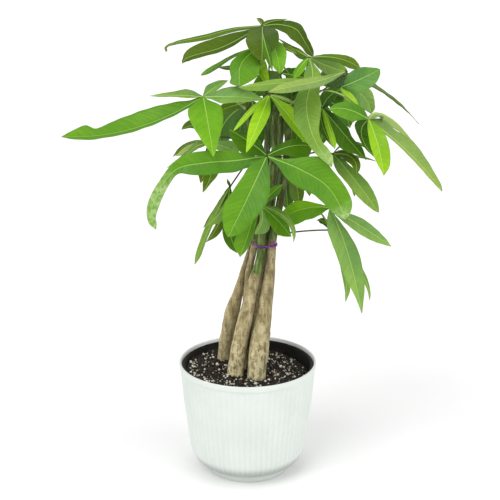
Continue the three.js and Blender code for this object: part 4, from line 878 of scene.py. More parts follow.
def bark_group(name):
    """Upright streaks, rings, fissures and lumps of bark along a stem."""
    tree, w, entry, leave = new_group(
        name, ["Place"], {}, ["Streaks", "Fissures", "Rings", "Patches", "Height"])
    stretched = w.vector("MULTIPLY", entry["Place"], (1.0, 1.0, 0.16))
    squashed = w.vector("MULTIPLY", entry["Place"], (0.35, 0.35, 1.0))
    streaks = w.noise(stretched, 260.0, 4.0, 0.6)
    lines = w.noise(stretched, 620.0, 5.0, 0.7)
    rings = w.noise(squashed, 330.0, 4.0, 0.6)
    drawn = w.vector("MULTIPLY", entry["Place"], (1.0, 1.0, 0.42))
    patches = w.noise(drawn, 120.0, 4.0, 0.6)
    grain = w.noise(entry["Place"], 1500.0, 4.0, 0.7)
    fissures = w.ramp(lines, 0.36, 0.44, 1.0, 0.0)
    height = w.plus(w.times(patches, 0.6), w.times(grain, 0.25))
    height = w.plus(height, w.times(rings, 0.35))
    for label, value in (
            ("Streaks", w.ramp(streaks, 0.36, 0.66)), ("Fissures", fissures),
            ("Rings", w.ramp(rings, 0.52, 0.66)), ("Patches", w.ramp(patches, 0.36, 0.7)),
            ("Height", w.minus(height, w.times(fissures, 0.4)))):
        w.feed(leave[label], value)
    return tree


def new_material(name, **sockets):
    """The wiring of a new material whose Principled shader has these constant sockets."""
    material = bpy.data.materials.new(name)
    material.use_nodes = True
    shader = material.node_tree.nodes["Principled BSDF"]
    for label, value in sockets.items():
        shader.inputs[label.replace("_", " ")].default_value = value
    return Wiring(material.node_tree, material)


# ---------------------------------------------------------------- finishes

# Heights, or radii, in metres between which a finish changes: the painted shade in the grooves
# and under the pot, the painted light on its inner wall, the dust and the old skin.
FLUTES_SOFTER, FLUTES_END = (0.12, 0.04), (0.13, 0.127)
UNDERSIDE_SHADE, FOOT_TOP = (0.015, 0.029), (0.0068, 0.0085)
INSIDE_RADIUS, INSIDE_FROM = (0.0802, 0.0808), (0.1315, 0.133)
DUST_FADE = (0.124, 0.136)
OLD_SKIN = (0.282, 0.315)
# Scuffs, and the painted light on the cover pot's inner wall, in screen colours.
SCUFF, INNER_WALL_LIGHT = (190, 188, 176), (252, 253, 252)


def white_plastic(settings):
    """White moulded plastic with scuffs; painted shade in the flutes' grooves and under the
    pot, and painted light on its inner wall.
    """
    w = new_material("white_moulded_plastic", Coat_Weight=0.0)
    mottle = w.mottle(22.0, 0.22)
    scuffs = w.mottle(160.0, 0.06)
    base = w.mix(mottle["Mask"], settings.cover_colour, settings.cover_shade)
    base = w.laid(base, linear(*SCUFF), w.ramp(scuffs["Fine"], 0.70, 0.76), 0.08)
    x, y, height = w.split(w.place())[:3]
    # Painted shade in the flutes' grooves: strongest low on the body, fainter higher up and
    # gone at the rim band.
    turn = w.times(w.math("ARCTAN2", y, x), float(settings.flutes))
    groove = w.ramp(w.math("COSINE", turn), -1.0, 1.0, 0.11, 0.0, soft=False)
    flute_shade = w.times(w.ramp(height, *FLUTES_SOFTER, 0.35, 1.0), w.ramp(height, *FLUTES_END))
    base = w.laid(base, settings.cover_groove_shade, groove, flute_shade)
    # Painted shade under the pot's body, stopping at the foot ring.
    under = w.ramp(height, *UNDERSIDE_SHADE, 0.66, 0.0)
    base = w.laid(base, settings.cover_under_shade, under, w.ramp(height, *FOOT_TOP))
    # Painted light on the inner wall of the cover pot above the nursery pot's rim, where it
    # stands in shade.
    radius = w.math("SQRT", w.plus(w.times(x, x), w.times(y, y)))
    inside = w.ramp(radius, *INSIDE_RADIUS, 0.9, 0.0)
    base = w.laid(base, linear(*INNER_WALL_LIGHT), inside, w.ramp(height, *INSIDE_FROM))
    return w.finish(base, w.ramp(scuffs["Mask"], 0.0, 1.0, 0.3, 0.38),
                    w.bump(scuffs["Fine"], 0.02, 0.0001))


def black_plastic(settings):
    """Black plastic with soil dust lower down."""
    w = new_material("black_pot_plastic", Specular_IOR_Level=0.12)
    mottle = w.mottle(75.0, 0.12)
    low = w.ramp(w.split(w.place())[2], *DUST_FADE, 0.75, 0.1)
    dust = w.times(w.times(mottle["Mask"], mottle["Fine"]), low)
    return w.finish(w.mix(dust, settings.nursery_colour, settings.nursery_dust),
                    w.ramp(mottle["Fine"], 0.3, 0.7, 0.36, 0.55),
                    w.bump(mottle["Fine"], 0.25, 0.0003))


def soil_material(settings):
    """Moist peat with drier crumbs."""
    w = new_material("peat_mix")
    mottle = w.mottle(190.0, 0.1)
    grain = w.noise(w.place(), 900.0, 6.0, 0.7)
    mask = w.times(mottle["Mask"], w.ramp(grain, 0.4, 0.7))
    relief = w.plus(grain, w.times(mottle["Fine"], 0.8))
    return w.finish(w.mix(mask, settings.dark, settings.light),
                    w.ramp(grain, 0.3, 0.7, 0.8, 0.98), w.bump(relief, 0.9, 0.0016))


def crumb_material(name, clean, stain, share):
    """Loose bits, each stained by its own tone."""
    w = new_material(name)
    mottle = w.mottle(420.0, 0.2)
    stained = w.plus(w.times(mottle["Mask"], 0.5), w.attribute("tone")["Fac"])
    return w.finish(w.mix(w.times(stained, share, clamp=True), clean, stain),
                    w.ramp(mottle["Fine"], 0.3, 0.7, 0.75, 0.95),
                    w.bump(mottle["Fine"], 0.5, 0.0006))


def bark_material(settings):
    """Bark below, green skin above, and painted shade in the creases where the stems meet and
    on each stem's lee side.
    """
    w = new_material("bark_and_green_skin", Specular_IOR_Level=0.15)
    place = w.place()
    bark = w.group(shared("Bark", bark_group), Place=place)
    green_at, height, cream_at = w.split(w.attribute("stem")["Vector"])[:3]
    base = w.mix(bark["Streaks"], settings.olive, settings.tan)
    base = w.laid(base, settings.beige, bark["Patches"], 0.62)
    base = w.laid(base, settings.olive, bark["Rings"], 0.55)
    base = w.laid(base, settings.fissure, bark["Fissures"], 0.55)
    drawn = w.vector("MULTIPLY", place, (1.0, 1.0, 0.5))
    moss = w.ramp(w.noise(drawn, 210.0, 5.0, 0.7), 0.46, 0.56)
    base = w.laid(base, settings.cream, moss, cream_at)
    pits = w.ramp(w.noise(place, 520.0, 4.0, 0.7), 0.58, 0.68)
    base = w.laid(base, settings.fissure, pits, 0.28)
    streaked = w.mix(bark["Streaks"], settings.skin_dark, settings.skin)
    # The darker patches of the old skin take the colour of the painted crease shade.
    brown = w.mix(bark["Patches"], settings.crease, settings.stem_brown)
    skin = w.laid(streaked, brown, w.plus(bark["Patches"], 0.3, clamp=True),
                  w.ramp(height, *OLD_SKIN, 0.0, 0.95))
    ragged = w.plus(green_at, w.ramp(bark["Streaks"], 0.0, 1.0, -0.22, 0.22))
    skin_mask = w.ramp(ragged, 0.42, 0.58)
    outside = w.mix(skin_mask, base, skin)
    relief = w.times(bark["Height"], w.ramp(skin_mask, 0.0, 1.0, 1.0, 0.3))
    # Painted shade over bark and skin in the creases and on the lee side.
    return w.finish(w.mix(w.attribute("crease")["Fac"], outside, settings.crease),
                    w.ramp(skin_mask, 0.0, 1.0, 0.86, 0.52), w.bump(relief, 0.75, 0.0011))


def tape_material(settings):
    """Purple tape with painted highlights on its folds, its knot and its ends."""
    w = new_material("purple_tape")
    mottle = w.mottle(300.0, 0.1)
    folds = w.noise(w.vector("MULTIPLY", w.place(), (0.4, 0.4, 2.2)), 420.0, 3.0)
    # Painted highlight on the folds, and by each piece's tone: most on the knot, then the ends
    # and the outer turns.
    bright = w.math("MAXIMUM", w.times(w.ramp(folds, 0.56, 0.7), 0.5),
                    w.attribute("tone")["Fac"])
    return w.finish(w.mix(bright, settings.tie_colour, settings.tie_highlight),
                    w.ramp(mottle["Fine"], 0.3, 0.7, 0.26, 0.45), w.bump(folds, 0.6, 0.0008))


# How glossy each tone of leaf is; the others take the usual gloss.
LEAF_GLOSS = {"deep": 0.14, "olive": 0.16, "dusk": 0.14, "leaf": 0.24, "lime": 0.2,
              "bright": 0.22, "fresh": 0.24}
USUAL_GLOSS = 0.3


def leaf_material(tone_name, settings):
    """One tone of leaf: veins, mottling, a paler underside and dried tips, with painted light
    on one half of the blade, painted shade on the other and a painted sheen on hanging ends.
    """
    w = new_material("leaf_" + tone_name,
                     Specular_IOR_Level=LEAF_GLOSS.get(tone_name, USUAL_GLOSS))
    share = w.attribute("leaf_share")["Vector"]
    millimetres = w.attribute("leaf_mm")["Vector"]
    upper = w.attribute("leaf_upper")["Fac"]
    side, run, seed = w.split(share)[:3]
    veins = w.group(shared("Leaf veins", leaf_vein_group), Millimetres=millimetres,
                    Share=share, Spacing=settings.vein_spacing / MM)
    mottle = w.mottle(38.0, 0.16)
    tone = red, green, blue = tuple(getattr(settings, tone_name))
    lighter = (min(1, red * 1.6 + 0.02), min(1, green * 1.34 + 0.012), blue * 1.1)
    darker = (red * 0.5, green * 0.62, blue * 0.6)
    under = (red * 0.8 + 0.03, green * 0.74 + 0.02, blue * 0.9 + 0.028)
    vein = tuple(0.4 * a + 0.6 * b for a, b in zip(lighter, settings.vein))
    body = w.laid(tone, lighter, mottle["Mask"], 0.42)
    body = w.laid(body, darker, w.ramp(mottle["Fine"], 0.35, 0.75), 0.2)
    # Painted light on one half of the blade and painted shade on the other; the blade is also
    # darker towards the hub and lighter towards the tip.
    lit = w.ramp(w.times(side, w.minus(seed, 0.4)), -0.08, 0.12)
    body = w.laid(body, lighter, lit, 0.34)
    near_hub = w.ramp(run, 0.02, 0.42, 0.5, 0.0)
    shaded = w.times(w.minus(1.0, lit), 0.26)
    body = w.mix(w.plus(near_hub, shaded, clamp=True), body, darker)
    body = w.mix(w.ramp(run, 0.5, 0.95, 0.0, 0.3), body, lighter)
    body = w.laid(body, darker, veins["Ribbing"], 0.28)
    specks = w.ramp(w.noise(millimetres, 0.75, 5.0, 0.7), 0.6, 0.72)
    body = w.laid(body, lighter, specks, 0.3)
    body = w.laid(body, under, w.minus(1.0, upper), 0.75)
    # Painted sheen in streaks on the hanging ends.
    streaky = w.ramp(w.noise(millimetres, 0.22, 4.0, 0.65), 0.38, 0.62, 0.25, 0.85)
    body = w.laid(body, settings.sheen, w.attribute("leaf_pale")["Fac"], streaky)
    for mask, colour, strength in (("Side veins", vein, 0.2), ("Midrib", vein, 0.82),
                                   ("Margin", vein, 0.2), ("Tip", settings.tip_colour, 0.7)):
        body = w.laid(body, colour, veins[mask], strength)
    gloss = w.ramp(mottle["Fine"], 0.3, 0.7, 0.33, 0.47)
    dull = w.times(w.minus(1.0, upper), 0.2)
    return w.finish(body, w.plus(gloss, dull), w.bump(veins["Relief"], 0.28, 0.0007))


def petiole_material(name, colour):
    """Leaf stalks with darker flecks."""
    w = new_material(name, Specular_IOR_Level=0.2)
    mottle = w.mottle(120.0, 0.15)
    red, green, blue = colour
    dark = (red * 0.6, green * 0.55, blue * 0.6)
    return w.finish(w.mix(mottle["Mask"], dark, colour),
                    w.ramp(mottle["Fine"], 0.3, 0.7, 0.38, 0.56),
                    w.bump(mottle["Fine"], 0.25, 0.0004))


def floor_material(settings):
    """Matt pale floor."""
    w = new_material("pale_floor", Roughness=0.85, Specular_IOR_Level=0.1)
    soft = w.noise(w.place(), 1.2, 2.0)
    return w.finish(w.mix(soft, [0.99 * part for part in settings.floor], settings.floor))


# ---------------------------------------------------------------- pots

class BuildCoverPot(bpy.types.Operator):
    """Build the white cover pot with its flutes, rim band and foot ring"""
    bl_idname = "money_tree.cover_pot"
    bl_label = "Cover pot"

    def execute(self, context):
        settings = context.scene.tree_pots
        shape = Shape()
        shape.add(*turned(COVER_OUTSIDE + COVER_INSIDE, settings.flutes * POINTS_A_FLUTE,
                          settings.flutes, settings.flute_depth))
        pot = shape.piece("white_cover_pot", [white_plastic(settings)], sharp=50)
        finish_piece(pot, "cover_plastic", "cover_pot")
        return {"FINISHED"}


class BuildNurseryPot(bpy.types.Operator):
    """Build the black nursery pot with its rolled rim and drain holes"""
    bl_idname = "money_tree.nursery_pot"
    bl_label = "Nursery pot"

    def execute(self, context):
        shape = Shape()
        shape.add(*turned(NURSERY_OUTLINE, NURSERY_SIDES))
        pot = shape.piece("black_nursery_pot", [black_plastic(context.scene.tree_pots)],
                          sharp=40)
        self.drill(pot, context)
        finish_piece(pot, "nursery_plastic", "nursery_pot")
        return {"FINISHED"}

    def drill(self, pot, context):
        """Cut the drain holes through the pot's floor."""
        cutter = bmesh.new()
        radius = DRAIN_HOLE_R * MM
        for k in range(DRAIN_HOLES):
            angle = 2 * math.pi * (k + 0.5) / DRAIN_HOLES
            made = bmesh.ops.create_cone(cutter, cap_ends=True, segments=DRILL_SIDES,
                                         radius1=radius, radius2=radius,
                                         depth=DRILL_LENGTH * MM)
            place = Vector((DRAIN_RING_R * math.cos(angle), DRAIN_RING_R * math.sin(angle),
                            DRAIN_HEIGHT)) * MM
            bmesh.ops.translate(cutter, verts=made["verts"], vec=place)
        drills = bpy.data.meshes.new("drain_drills")
        cutter.to_mesh(drills)
        cutter.free()
        drill = placed("drain_drills", drills)
        cut = pot.modifiers.new("drain_holes", "BOOLEAN")
        cut.object = drill
        cut.solver = "EXACT"
        solid = bpy.data.meshes.new_from_object(
            pot.evaluated_get(context.evaluated_depsgraph_get()))
        pot.modifiers.clear()
        pot.data = solid
        bpy.data.objects.remove(drill)


# ---------------------------------------------------------------- soil

def soil_level(x, y):
    """Height of the bed in millimetres."""
    slow = np.sin(x * 0.11 + 1.3) * np.cos(y * 0.09 - 0.4)
    quick = np.sin(x * 0.31 - y * 0.23) * np.cos(y * 0.27 + x * 0.12)
    return SOIL_TOP - SOIL_SLOPE * x + SOIL_BUMP * (0.6 * slow + 0.4 * quick)


def soil_edge_radius(z):
    """Radius at which the bed meets the nursery pot's wall, a little inside it."""
    share = (z - WALL_FOOT[1]) / (WALL_TOP[1] - WALL_FOOT[1])
    return WALL_FOOT[0] + share * (WALL_TOP[0] - WALL_FOOT[0]) - SOIL_CLEARANCE


def steady_draws(seed):
    """The same run of shares between 0 and 1 for the same seed."""
    state = seed
    while True:
        state = (state * 1664525 + 1013904223) % 4294967296
        yield state / 4294967296


def crumb_ball():
    """Points and faces of a small ball."""
    ball = bmesh.new()
    bmesh.ops.create_icosphere(ball, subdivisions=2, radius=1.0)
    points = np.array([v.co for v in ball.verts])
    faces = [tuple(v.index for v in f.verts) for f in ball.faces]
    ball.free()
    return points, faces


def crumb(ball, centre, size, stretch, rng, rough=0.28):
    """One uneven crumb: the ball pushed in and out, stretched and turned."""
    shift = Vector([rng.uniform(-50, 50) for _ in range(3)])
    push = np.array([1 + rough * noise.noise(Vector(p) * 1.6 + shift) * 1.8 for p in ball])
    points = ball * push[:, None] * np.array(stretch) * size
    turn, lean = rng.uniform(0, 2 * math.pi), rng.uniform(-0.7, 0.7)
    spin = np.array([[math.cos(turn), -math.sin(turn), 0], [math.sin(turn), math.cos(turn), 0],
                     [0, 0, 1]])
    tip = np.array([[1, 0, 0], [0, math.cos(lean), -math.sin(lean)],
                    [0, math.sin(lean), math.cos(lean)]])
    return (points @ tip.T @ spin.T + np.array(centre)) * MM


class BuildSoil(bpy.types.Operator):
    """Build the bed of potting mix with its perlite, clods and bark chips"""
    bl_idname = "money_tree.soil"
    bl_label = "Soil"

    def execute(self, context):
        settings = context.scene.tree_soil
        angles = round_angles(SOIL_SIDES)
        points = [circle(angles, r, z) for r, z in SOIL_UNDERSIDE]
        for i, radius in enumerate(np.linspace(SOIL_RADIUS, SOIL_MIDDLE, SOIL_RINGS)):
            x, y = radius * np.cos(angles), radius * np.sin(angles)
            z = soil_level(x, y)
            for k in range(SOIL_SIDES):
                for fine, layer, height in SOIL_LUMPS:
                    z[k] += height * noise.noise(Vector((x[k] * fine, y[k] * fine, layer)))
            fit = soil_edge_radius(z) / SOIL_RADIUS if i == 0 else np.minimum(
                1, (soil_edge_radius(z) - RING_INSET * i) / radius)
            points.append(np.stack([x * fit, y * fit, z], 1))
        poles = [[0, 0, SOIL_UNDERSIDE[0][1]], [0, 0, float(soil_level(0.0, 0.0))]]
        shape = Shape()
        shape.add(np.vstack(points + [poles]) * MM, ring_faces(len(points), SOIL_SIDES))
        bed = shape.piece("soil_bed", [soil_material(settings)])
        finish_piece(bed, "potting_soil", "soil")
        self.scatter(settings)
        return {"FINISHED"}

    def scatter(self, settings):
        """Strew the loose bits over the bed, clear of the stems."""
        rng = random.Random(settings.seed)
        ball, faces = crumb_ball()
        feet = [(seen(x, z, y)[:2] / MM, radius)
                for x, z, y, radius in (rows[1] for rows in TRUNKS.values())]

        def open_spot(margin):
            while True:
                radius = STREWN_RADIUS * math.sqrt(rng.random())
                angle = rng.uniform(0, 2 * math.pi)
                x, y = radius * math.cos(angle), radius * math.sin(angle)
                if all(math.hypot(x - c[0], y - c[1]) > r + margin for c, r in feet):
                    return x, y

        def strew(shape, count, margin, size_of, stretches, lift_of, rough, tone_power):
            for _ in range(count):
                x, y = open_spot(margin)
                size = size_of(rng.random())
                stretch = [rng.uniform(*span) for span in stretches]
                z = float(soil_level(x, y)) + lift_of(size)
                points = crumb(ball, (x, y, z), size, stretch, rng, rough)
                shape.add(points, faces, tone=np.full(len(points), rng.random() ** tone_power))

        def gather(shape, name, material):
            finish_piece(shape.piece(name, [material]), "potting_soil")

        pale, dark, red = Shape(), Shape(), Shape()
        draws = steady_draws(CRUMB_SEED)
        for _ in range(CRUMBS):
            size = 1.3 + 1.3 * next(draws)
            radius = CRUMB_RADIUS * math.sqrt(next(draws))
            angle = 2 * math.pi * next(draws)
            for _ in range(UNUSED_DRAWS):
                next(draws)
            x, y = radius * math.cos(angle), radius * math.sin(angle)
            z = float(soil_level(x, y)) + 0.1 * size
            points = crumb(ball, (x, y, z), size * 0.85, (1.15, 0.95, 0.8), rng)
            pale.add(points, faces, tone=np.full(len(points), rng.uniform(0, 0.5)))
        strew(pale, settings.perlite, 1.0, lambda r: 0.42 + 1.35 * r ** 2.6,
              [(0.75, 1.25)] * 3, lambda size: 0.35 * size + rng.uniform(0, 0.6), 0.4, 1.6)
        gather(pale, "perlite_crumbs", crumb_material(
            "perlite", settings.perlite_colour, settings.perlite_stain, 0.75))
        strew(dark, settings.clods, -1.0, lambda r: 0.8 + 1.7 * r ** 1.6, [(0.7, 1.3)] * 3,
              lambda size: 0.2 * size, 0.5, 1)
        gather(dark, "peat_clods", crumb_material(
            "peat_clod", settings.dark, settings.light, 0.7))
        strew(red, settings.chips, 1.5, lambda r: 0.7 + 0.8 * r,
              [(1.6, 3.2), (0.5, 0.9), (0.3, 0.5)], lambda size: rng.uniform(0.6, 1.5), 0.3, 1)
        gather(red, "bark_chips", crumb_material(
            "bark_chip", settings.chip_colour, settings.dark, 0.55))


# ---------------------------------------------------------------- stems and tape

def stem_places(name):
    """The stem's centre line in metres, with its radius as a fourth column."""
    return np.array([[*seen(x, z, y), radius * MM] for x, z, y, radius in TRUNKS[name]])


class BuildTrunks(bpy.types.Operator):
    """Build the five stems, each with bark below and green skin above"""
    bl_idname = "money_tree.trunks"
    bl_label = "Trunks"

    def execute(self, context):
        settings = context.scene.tree_stems
        material = bark_material(settings)
        for number, name in enumerate(TRUNKS):
            self.stem(name, number, settings, material)
        return {"FINISHED"}

    def stem(self, name, number, settings, material):
        line = smooth_line(stem_places(name), np.linspace(0, 1, STEM_RINGS))
        centres, radii = line[:, :3], line[:, 3]
        knots = [(seen(x, z, 0), height * MM, reach * MM)
                 for stem, (x, z), height, reach in KNOTS if stem == name]
        eye = EYE_MM * MM
        green = seen(0, GREEN_FROM[name], 0)[2]
        sides = settings.sides

        def bend(i, way, centre, radius):
            """How far the bark stands out round the ring: lumps, root flare and knots."""
            barky = 1.0 if centre[2] < green else 0.35
            out = np.zeros(sides)
            flare = max(0.0, 1 - max(0.0, centre[2] - FLARE_FROM) / FLARE_REACH)
            for k, direction in enumerate(way):
                p = centre + direction * radius
                coarse = noise.noise(Vector(p * (110, 110, 60)) + Vector((number * 9, 0, 0)))
                fine = noise.noise(Vector(p * 330))
                out[k] = settings.relief * barky * (1.5 * coarse + 0.5 * fine)
                out[k] += flare * FLARE_HEIGHT * (1 + noise.noise(Vector(p * 260)))
                sight = p - eye
                for spot, height, reach in knots:
                    toward = spot - eye
                    line_at = eye + toward * (sight.dot(toward) / toward.dot(toward))
                    off = np.linalg.norm(p - line_at)
                    if off < 2.5 * reach and direction.dot(toward) < 0:
                        out[k] += height * math.exp(-(off / (0.62 * reach)) ** 2)
            return out

        points, faces = limb_rings(centres, radii, sides, bend)
        heights = points[:, 2]
        mossy = np.clip(1 - (heights - MOSS_FROM) / MOSS_REACH, 0, 1)
        values = np.stack([0.5 + (heights - green) / GREEN_BLEND, heights,
                           mossy * (0.95 if number in MOSSY_STEMS else 0.5)], 1)
        shape = Shape()
        shape.add(points, faces, stem=values, crease=self.crease(name, points, centres))
        finish_piece(shape.piece(name + "_bark", [material]), "bark", name)

    def crease(self, name, points, centres):
        """How much painted shade each point takes: more the further it lies into the folds
        beside the other stems, and on the lee side.
        """
        depth = np.zeros(len(points))
        for other in TRUNKS:
            if other == name:
                continue
            line = smooth_line(stem_places(other), np.linspace(0, 1, 90))
            off = points[:, None, :] - line[None, :, :3]
            gap = (np.linalg.norm(off, axis=2) - line[None, :, 3]).min(1)
            depth = np.maximum(depth, np.clip(1 - (gap - CREASE_FROM) / CREASE_REACH, 0, 1))
        nearest = np.abs(points[:, None, 2] - centres[None, :, 2]).argmin(1)
        way = points[:, :2] - centres[nearest, :2]
        way /= np.maximum(np.linalg.norm(way, axis=1, keepdims=True), 1e-9)
        lee = np.clip(way @ LEE_SIDE, 0, 1) ** 1.5 * LEE_SHADE
        return np.clip(CREASE_SHADE * depth ** 1.4 + lee, 0, DARKEST)


def outline_hull(points):
    """Convex outline of flat points, in order."""
    order = sorted(map(tuple, points))

    def half(rows):
        chain = []
        for p in rows:
            while len(chain) > 1 and (
                    (chain[-1][0] - chain[-2][0]) * (p[1] - chain[-2][1])
                    - (chain[-1][1] - chain[-2][1]) * (p[0] - chain[-2][0])) <= 0:
                chain.pop()
            chain.append(p)
        return chain[:-1]
    return np.array(half(order) + half(order[::-1]))


class BuildTie(bpy.types.Operator):
    """Build the purple tape wound round the stems, with its knot"""
    bl_idname = "money_tree.tie"
    bl_label = "Tie"

    def execute(self, context):
        settings = context.scene.tree_stems
        z = seen(TIE_KNOT[0], TIE_KNOT[1], 0)[2]
        shape = Shape()
        for turn in range(TIE_TURNS):
            self.wrap(shape, z, z + (turn - 1) * TIE_PITCH * MM, turn)
        knot_at = seen(*TIE_KNOT)
        ball, faces = crumb_ball()
        lump = crumb(ball, knot_at / MM, KNOT_SIZE, KNOT_STRETCH, random.Random(TIE_SEED),
                     0.35)
        # Each piece's tone is its share of painted highlight.
        shape.add(lump, faces, tone=np.full(len(lump), 0.55))
        for ends in TIE_ENDS:
            path = smooth_line([knot_at, *[seen(*p) for p in ends]],
                               np.linspace(0, 1, TAIL_STEPS))
            radii = np.linspace(TAIL_ROOT, TAIL_TIP, TAIL_STEPS) * MM
            tail, tail_faces = limb_rings(path, radii, TIE_SIDES)
            shape.add(tail, tail_faces, tone=np.full(len(tail), 0.35))
        tie = shape.piece("purple_tie", [tape_material(settings)])
        finish_piece(tie, "tie_plastic", "tie")
        return {"FINISHED"}

    def wrap(self, shape, level, height, turn):
        """One turn of the tape, drawn tight round all the stems at that level."""
        around = []
        for name in TRUNKS:
            rows = smooth_line(stem_places(name), np.linspace(0, 1, 120))
            centre = rows[np.argmin(np.abs(rows[:, 2] - level))]
            reach = centre[3] + (TAPE_OFF + TAPE_LAYER * turn) * MM
            around += [(centre[0] + reach * math.cos(2 * math.pi * k / STEM_TOUCHES),
                        centre[1] + reach * math.sin(2 * math.pi * k / STEM_TOUCHES))
                       for k in range(STEM_TOUCHES)]
        outline = outline_hull(around)
        closed = np.vstack([outline, outline[:1]])
        lengths = arc_lengths(closed)
        places = np.linspace(0, lengths[-1], TIE_STEPS + 1)[:-1]
        path = np.stack([np.interp(places, lengths, closed[:, 0]),
                         np.interp(places, lengths, closed[:, 1])], 1)
        middle = path.mean(0)
        rings = []
        for i, p in enumerate(path):
            way = (p - middle) / np.linalg.norm(p - middle)
            swing = TAPE_SWING * MM * math.sin(i * 0.21 + turn * 2.1)
            for k in range(TIE_SIDES):
                angle = 2 * math.pi * k / TIE_SIDES
                out = TAPE_OUT * MM * math.cos(angle)
                up = TAPE_UP * MM * math.sin(angle)
                rings.append((p[0] + way[0] * out, p[1] + way[1] * out, height + swing + up))
        points = np.array(rings)
        faces = [(i * TIE_SIDES + k, after * TIE_SIDES + k, after * TIE_SIDES + beside,
                  i * TIE_SIDES + beside)
                 for i, after in enumerate([*range(1, TIE_STEPS), 0])
                 for k, beside in enumerate([*range(1, TIE_SIDES), 0])]
        # Each outer turn takes a little more painted highlight.
        shape.add(points, faces, tone=np.full(len(points), 0.12 * turn))


# ---------------------------------------------------------------- fronds

# Where the columns of a blade stand across it, from margin to margin.
ACROSS = np.array([-1, -0.86, -0.68, -0.48, -0.29, -0.14, -0.05, 0, 0.05, 0.14, 0.29, 0.48,
                   0.68, 0.86, 1])
BLADE_STEP, RIB_SHARE, MARGIN_TRIM = 2.6 * MM, 0.14, 0.55
# Half widths at a blade's root and tip, its keel as a share of the half width, and its
# waves: height in millimetres and radians along the leaflet.
BLADE_ROOT, BLADE_TIP, BLADE_KEEL = 0.8, 0.3, 0.22
BROAD_WAVE, BROAD_TURNS, SMALL_WAVE, SMALL_TURNS = 1.1, 12, 0.3, 46
# Painted sheen: a start past every leaflet's tip, for leaflets without one, and how fast it
# comes on.
NEVER_SHEEN, SHEEN_BLEND = 2.0, 0.12
STALK_STEPS, STALK_SIDES, STALK_SWELL, SWELL_REACH = 36, 12, 0.9 * MM, 0.06
FROND_SEED, PHASE_STEP = 21, 1.7
TONES = ("fresh", "bright", "leaf", "deep", "lime", "pale", "mist", "grey", "sage", "olive",
         "dusk", "blue")
HUB_REACH = np.array([1.6, 1.5, 1.5]) * MM
PALE_STALKS = ("frond_far_right", "frond_left")
FROND_SLOTS = {
    "frond_young": "leaf_young", "frond_far_right": "leaf_young", "frond_crown": "leaf_dark",
}


def width_share(s, belly):
    """Half width along a leaflet, as a share of its widest."""
    inside = np.clip(np.sin(np.pi * np.clip(s, 0, 1) ** belly), 0, 1)
    return inside ** 0.9 * (1.08 - 0.14 * s)


def smooth_shares(stations, values, shares):
    """Smooth line through the values at the stations, read off at the shares."""
    stations, values = np.asarray(stations, float), np.asarray(values, float)
    slope = np.gradient(values, stations)
    i = np.clip(np.searchsorted(stations, shares) - 1, 0, len(stations) - 2)
    step = stations[i + 1] - stations[i]
    t = (shares - stations[i]) / step
    start = ((2 * t ** 3 - 3 * t ** 2 + 1) * values[i]
             + (t ** 3 - 2 * t ** 2 + t) * step * slope[i])
    end = ((3 * t ** 2 - 2 * t ** 3) * values[i + 1]
           + (t ** 3 - t ** 2) * step * slope[i + 1])
    return start + end


def half_widths(form, tilt, s):
    """Half widths at a leaflet's left and right hand, in metres."""
    if isinstance(form, tuple):
        width, belly = form
        half = np.maximum(BLADE_ROOT * (1 - 0.8 * s ** 3), width / 2 * width_share(s, belly))
        return half * MM, half * MM
    lean = BLADE_KEEL * math.sin(tilt)
    stations = [0.0, *(row[0] for row in form), 1.0]
    sides = []
    for column, open_share in ((1, math.cos(tilt) - lean), (2, math.cos(tilt) + lean)):
        values = [BLADE_ROOT, *(row[column] / open_share for row in form), BLADE_TIP]
        sides.append(np.maximum(smooth_shares(stations, values, s), BLADE_TIP) * MM)
    return sides


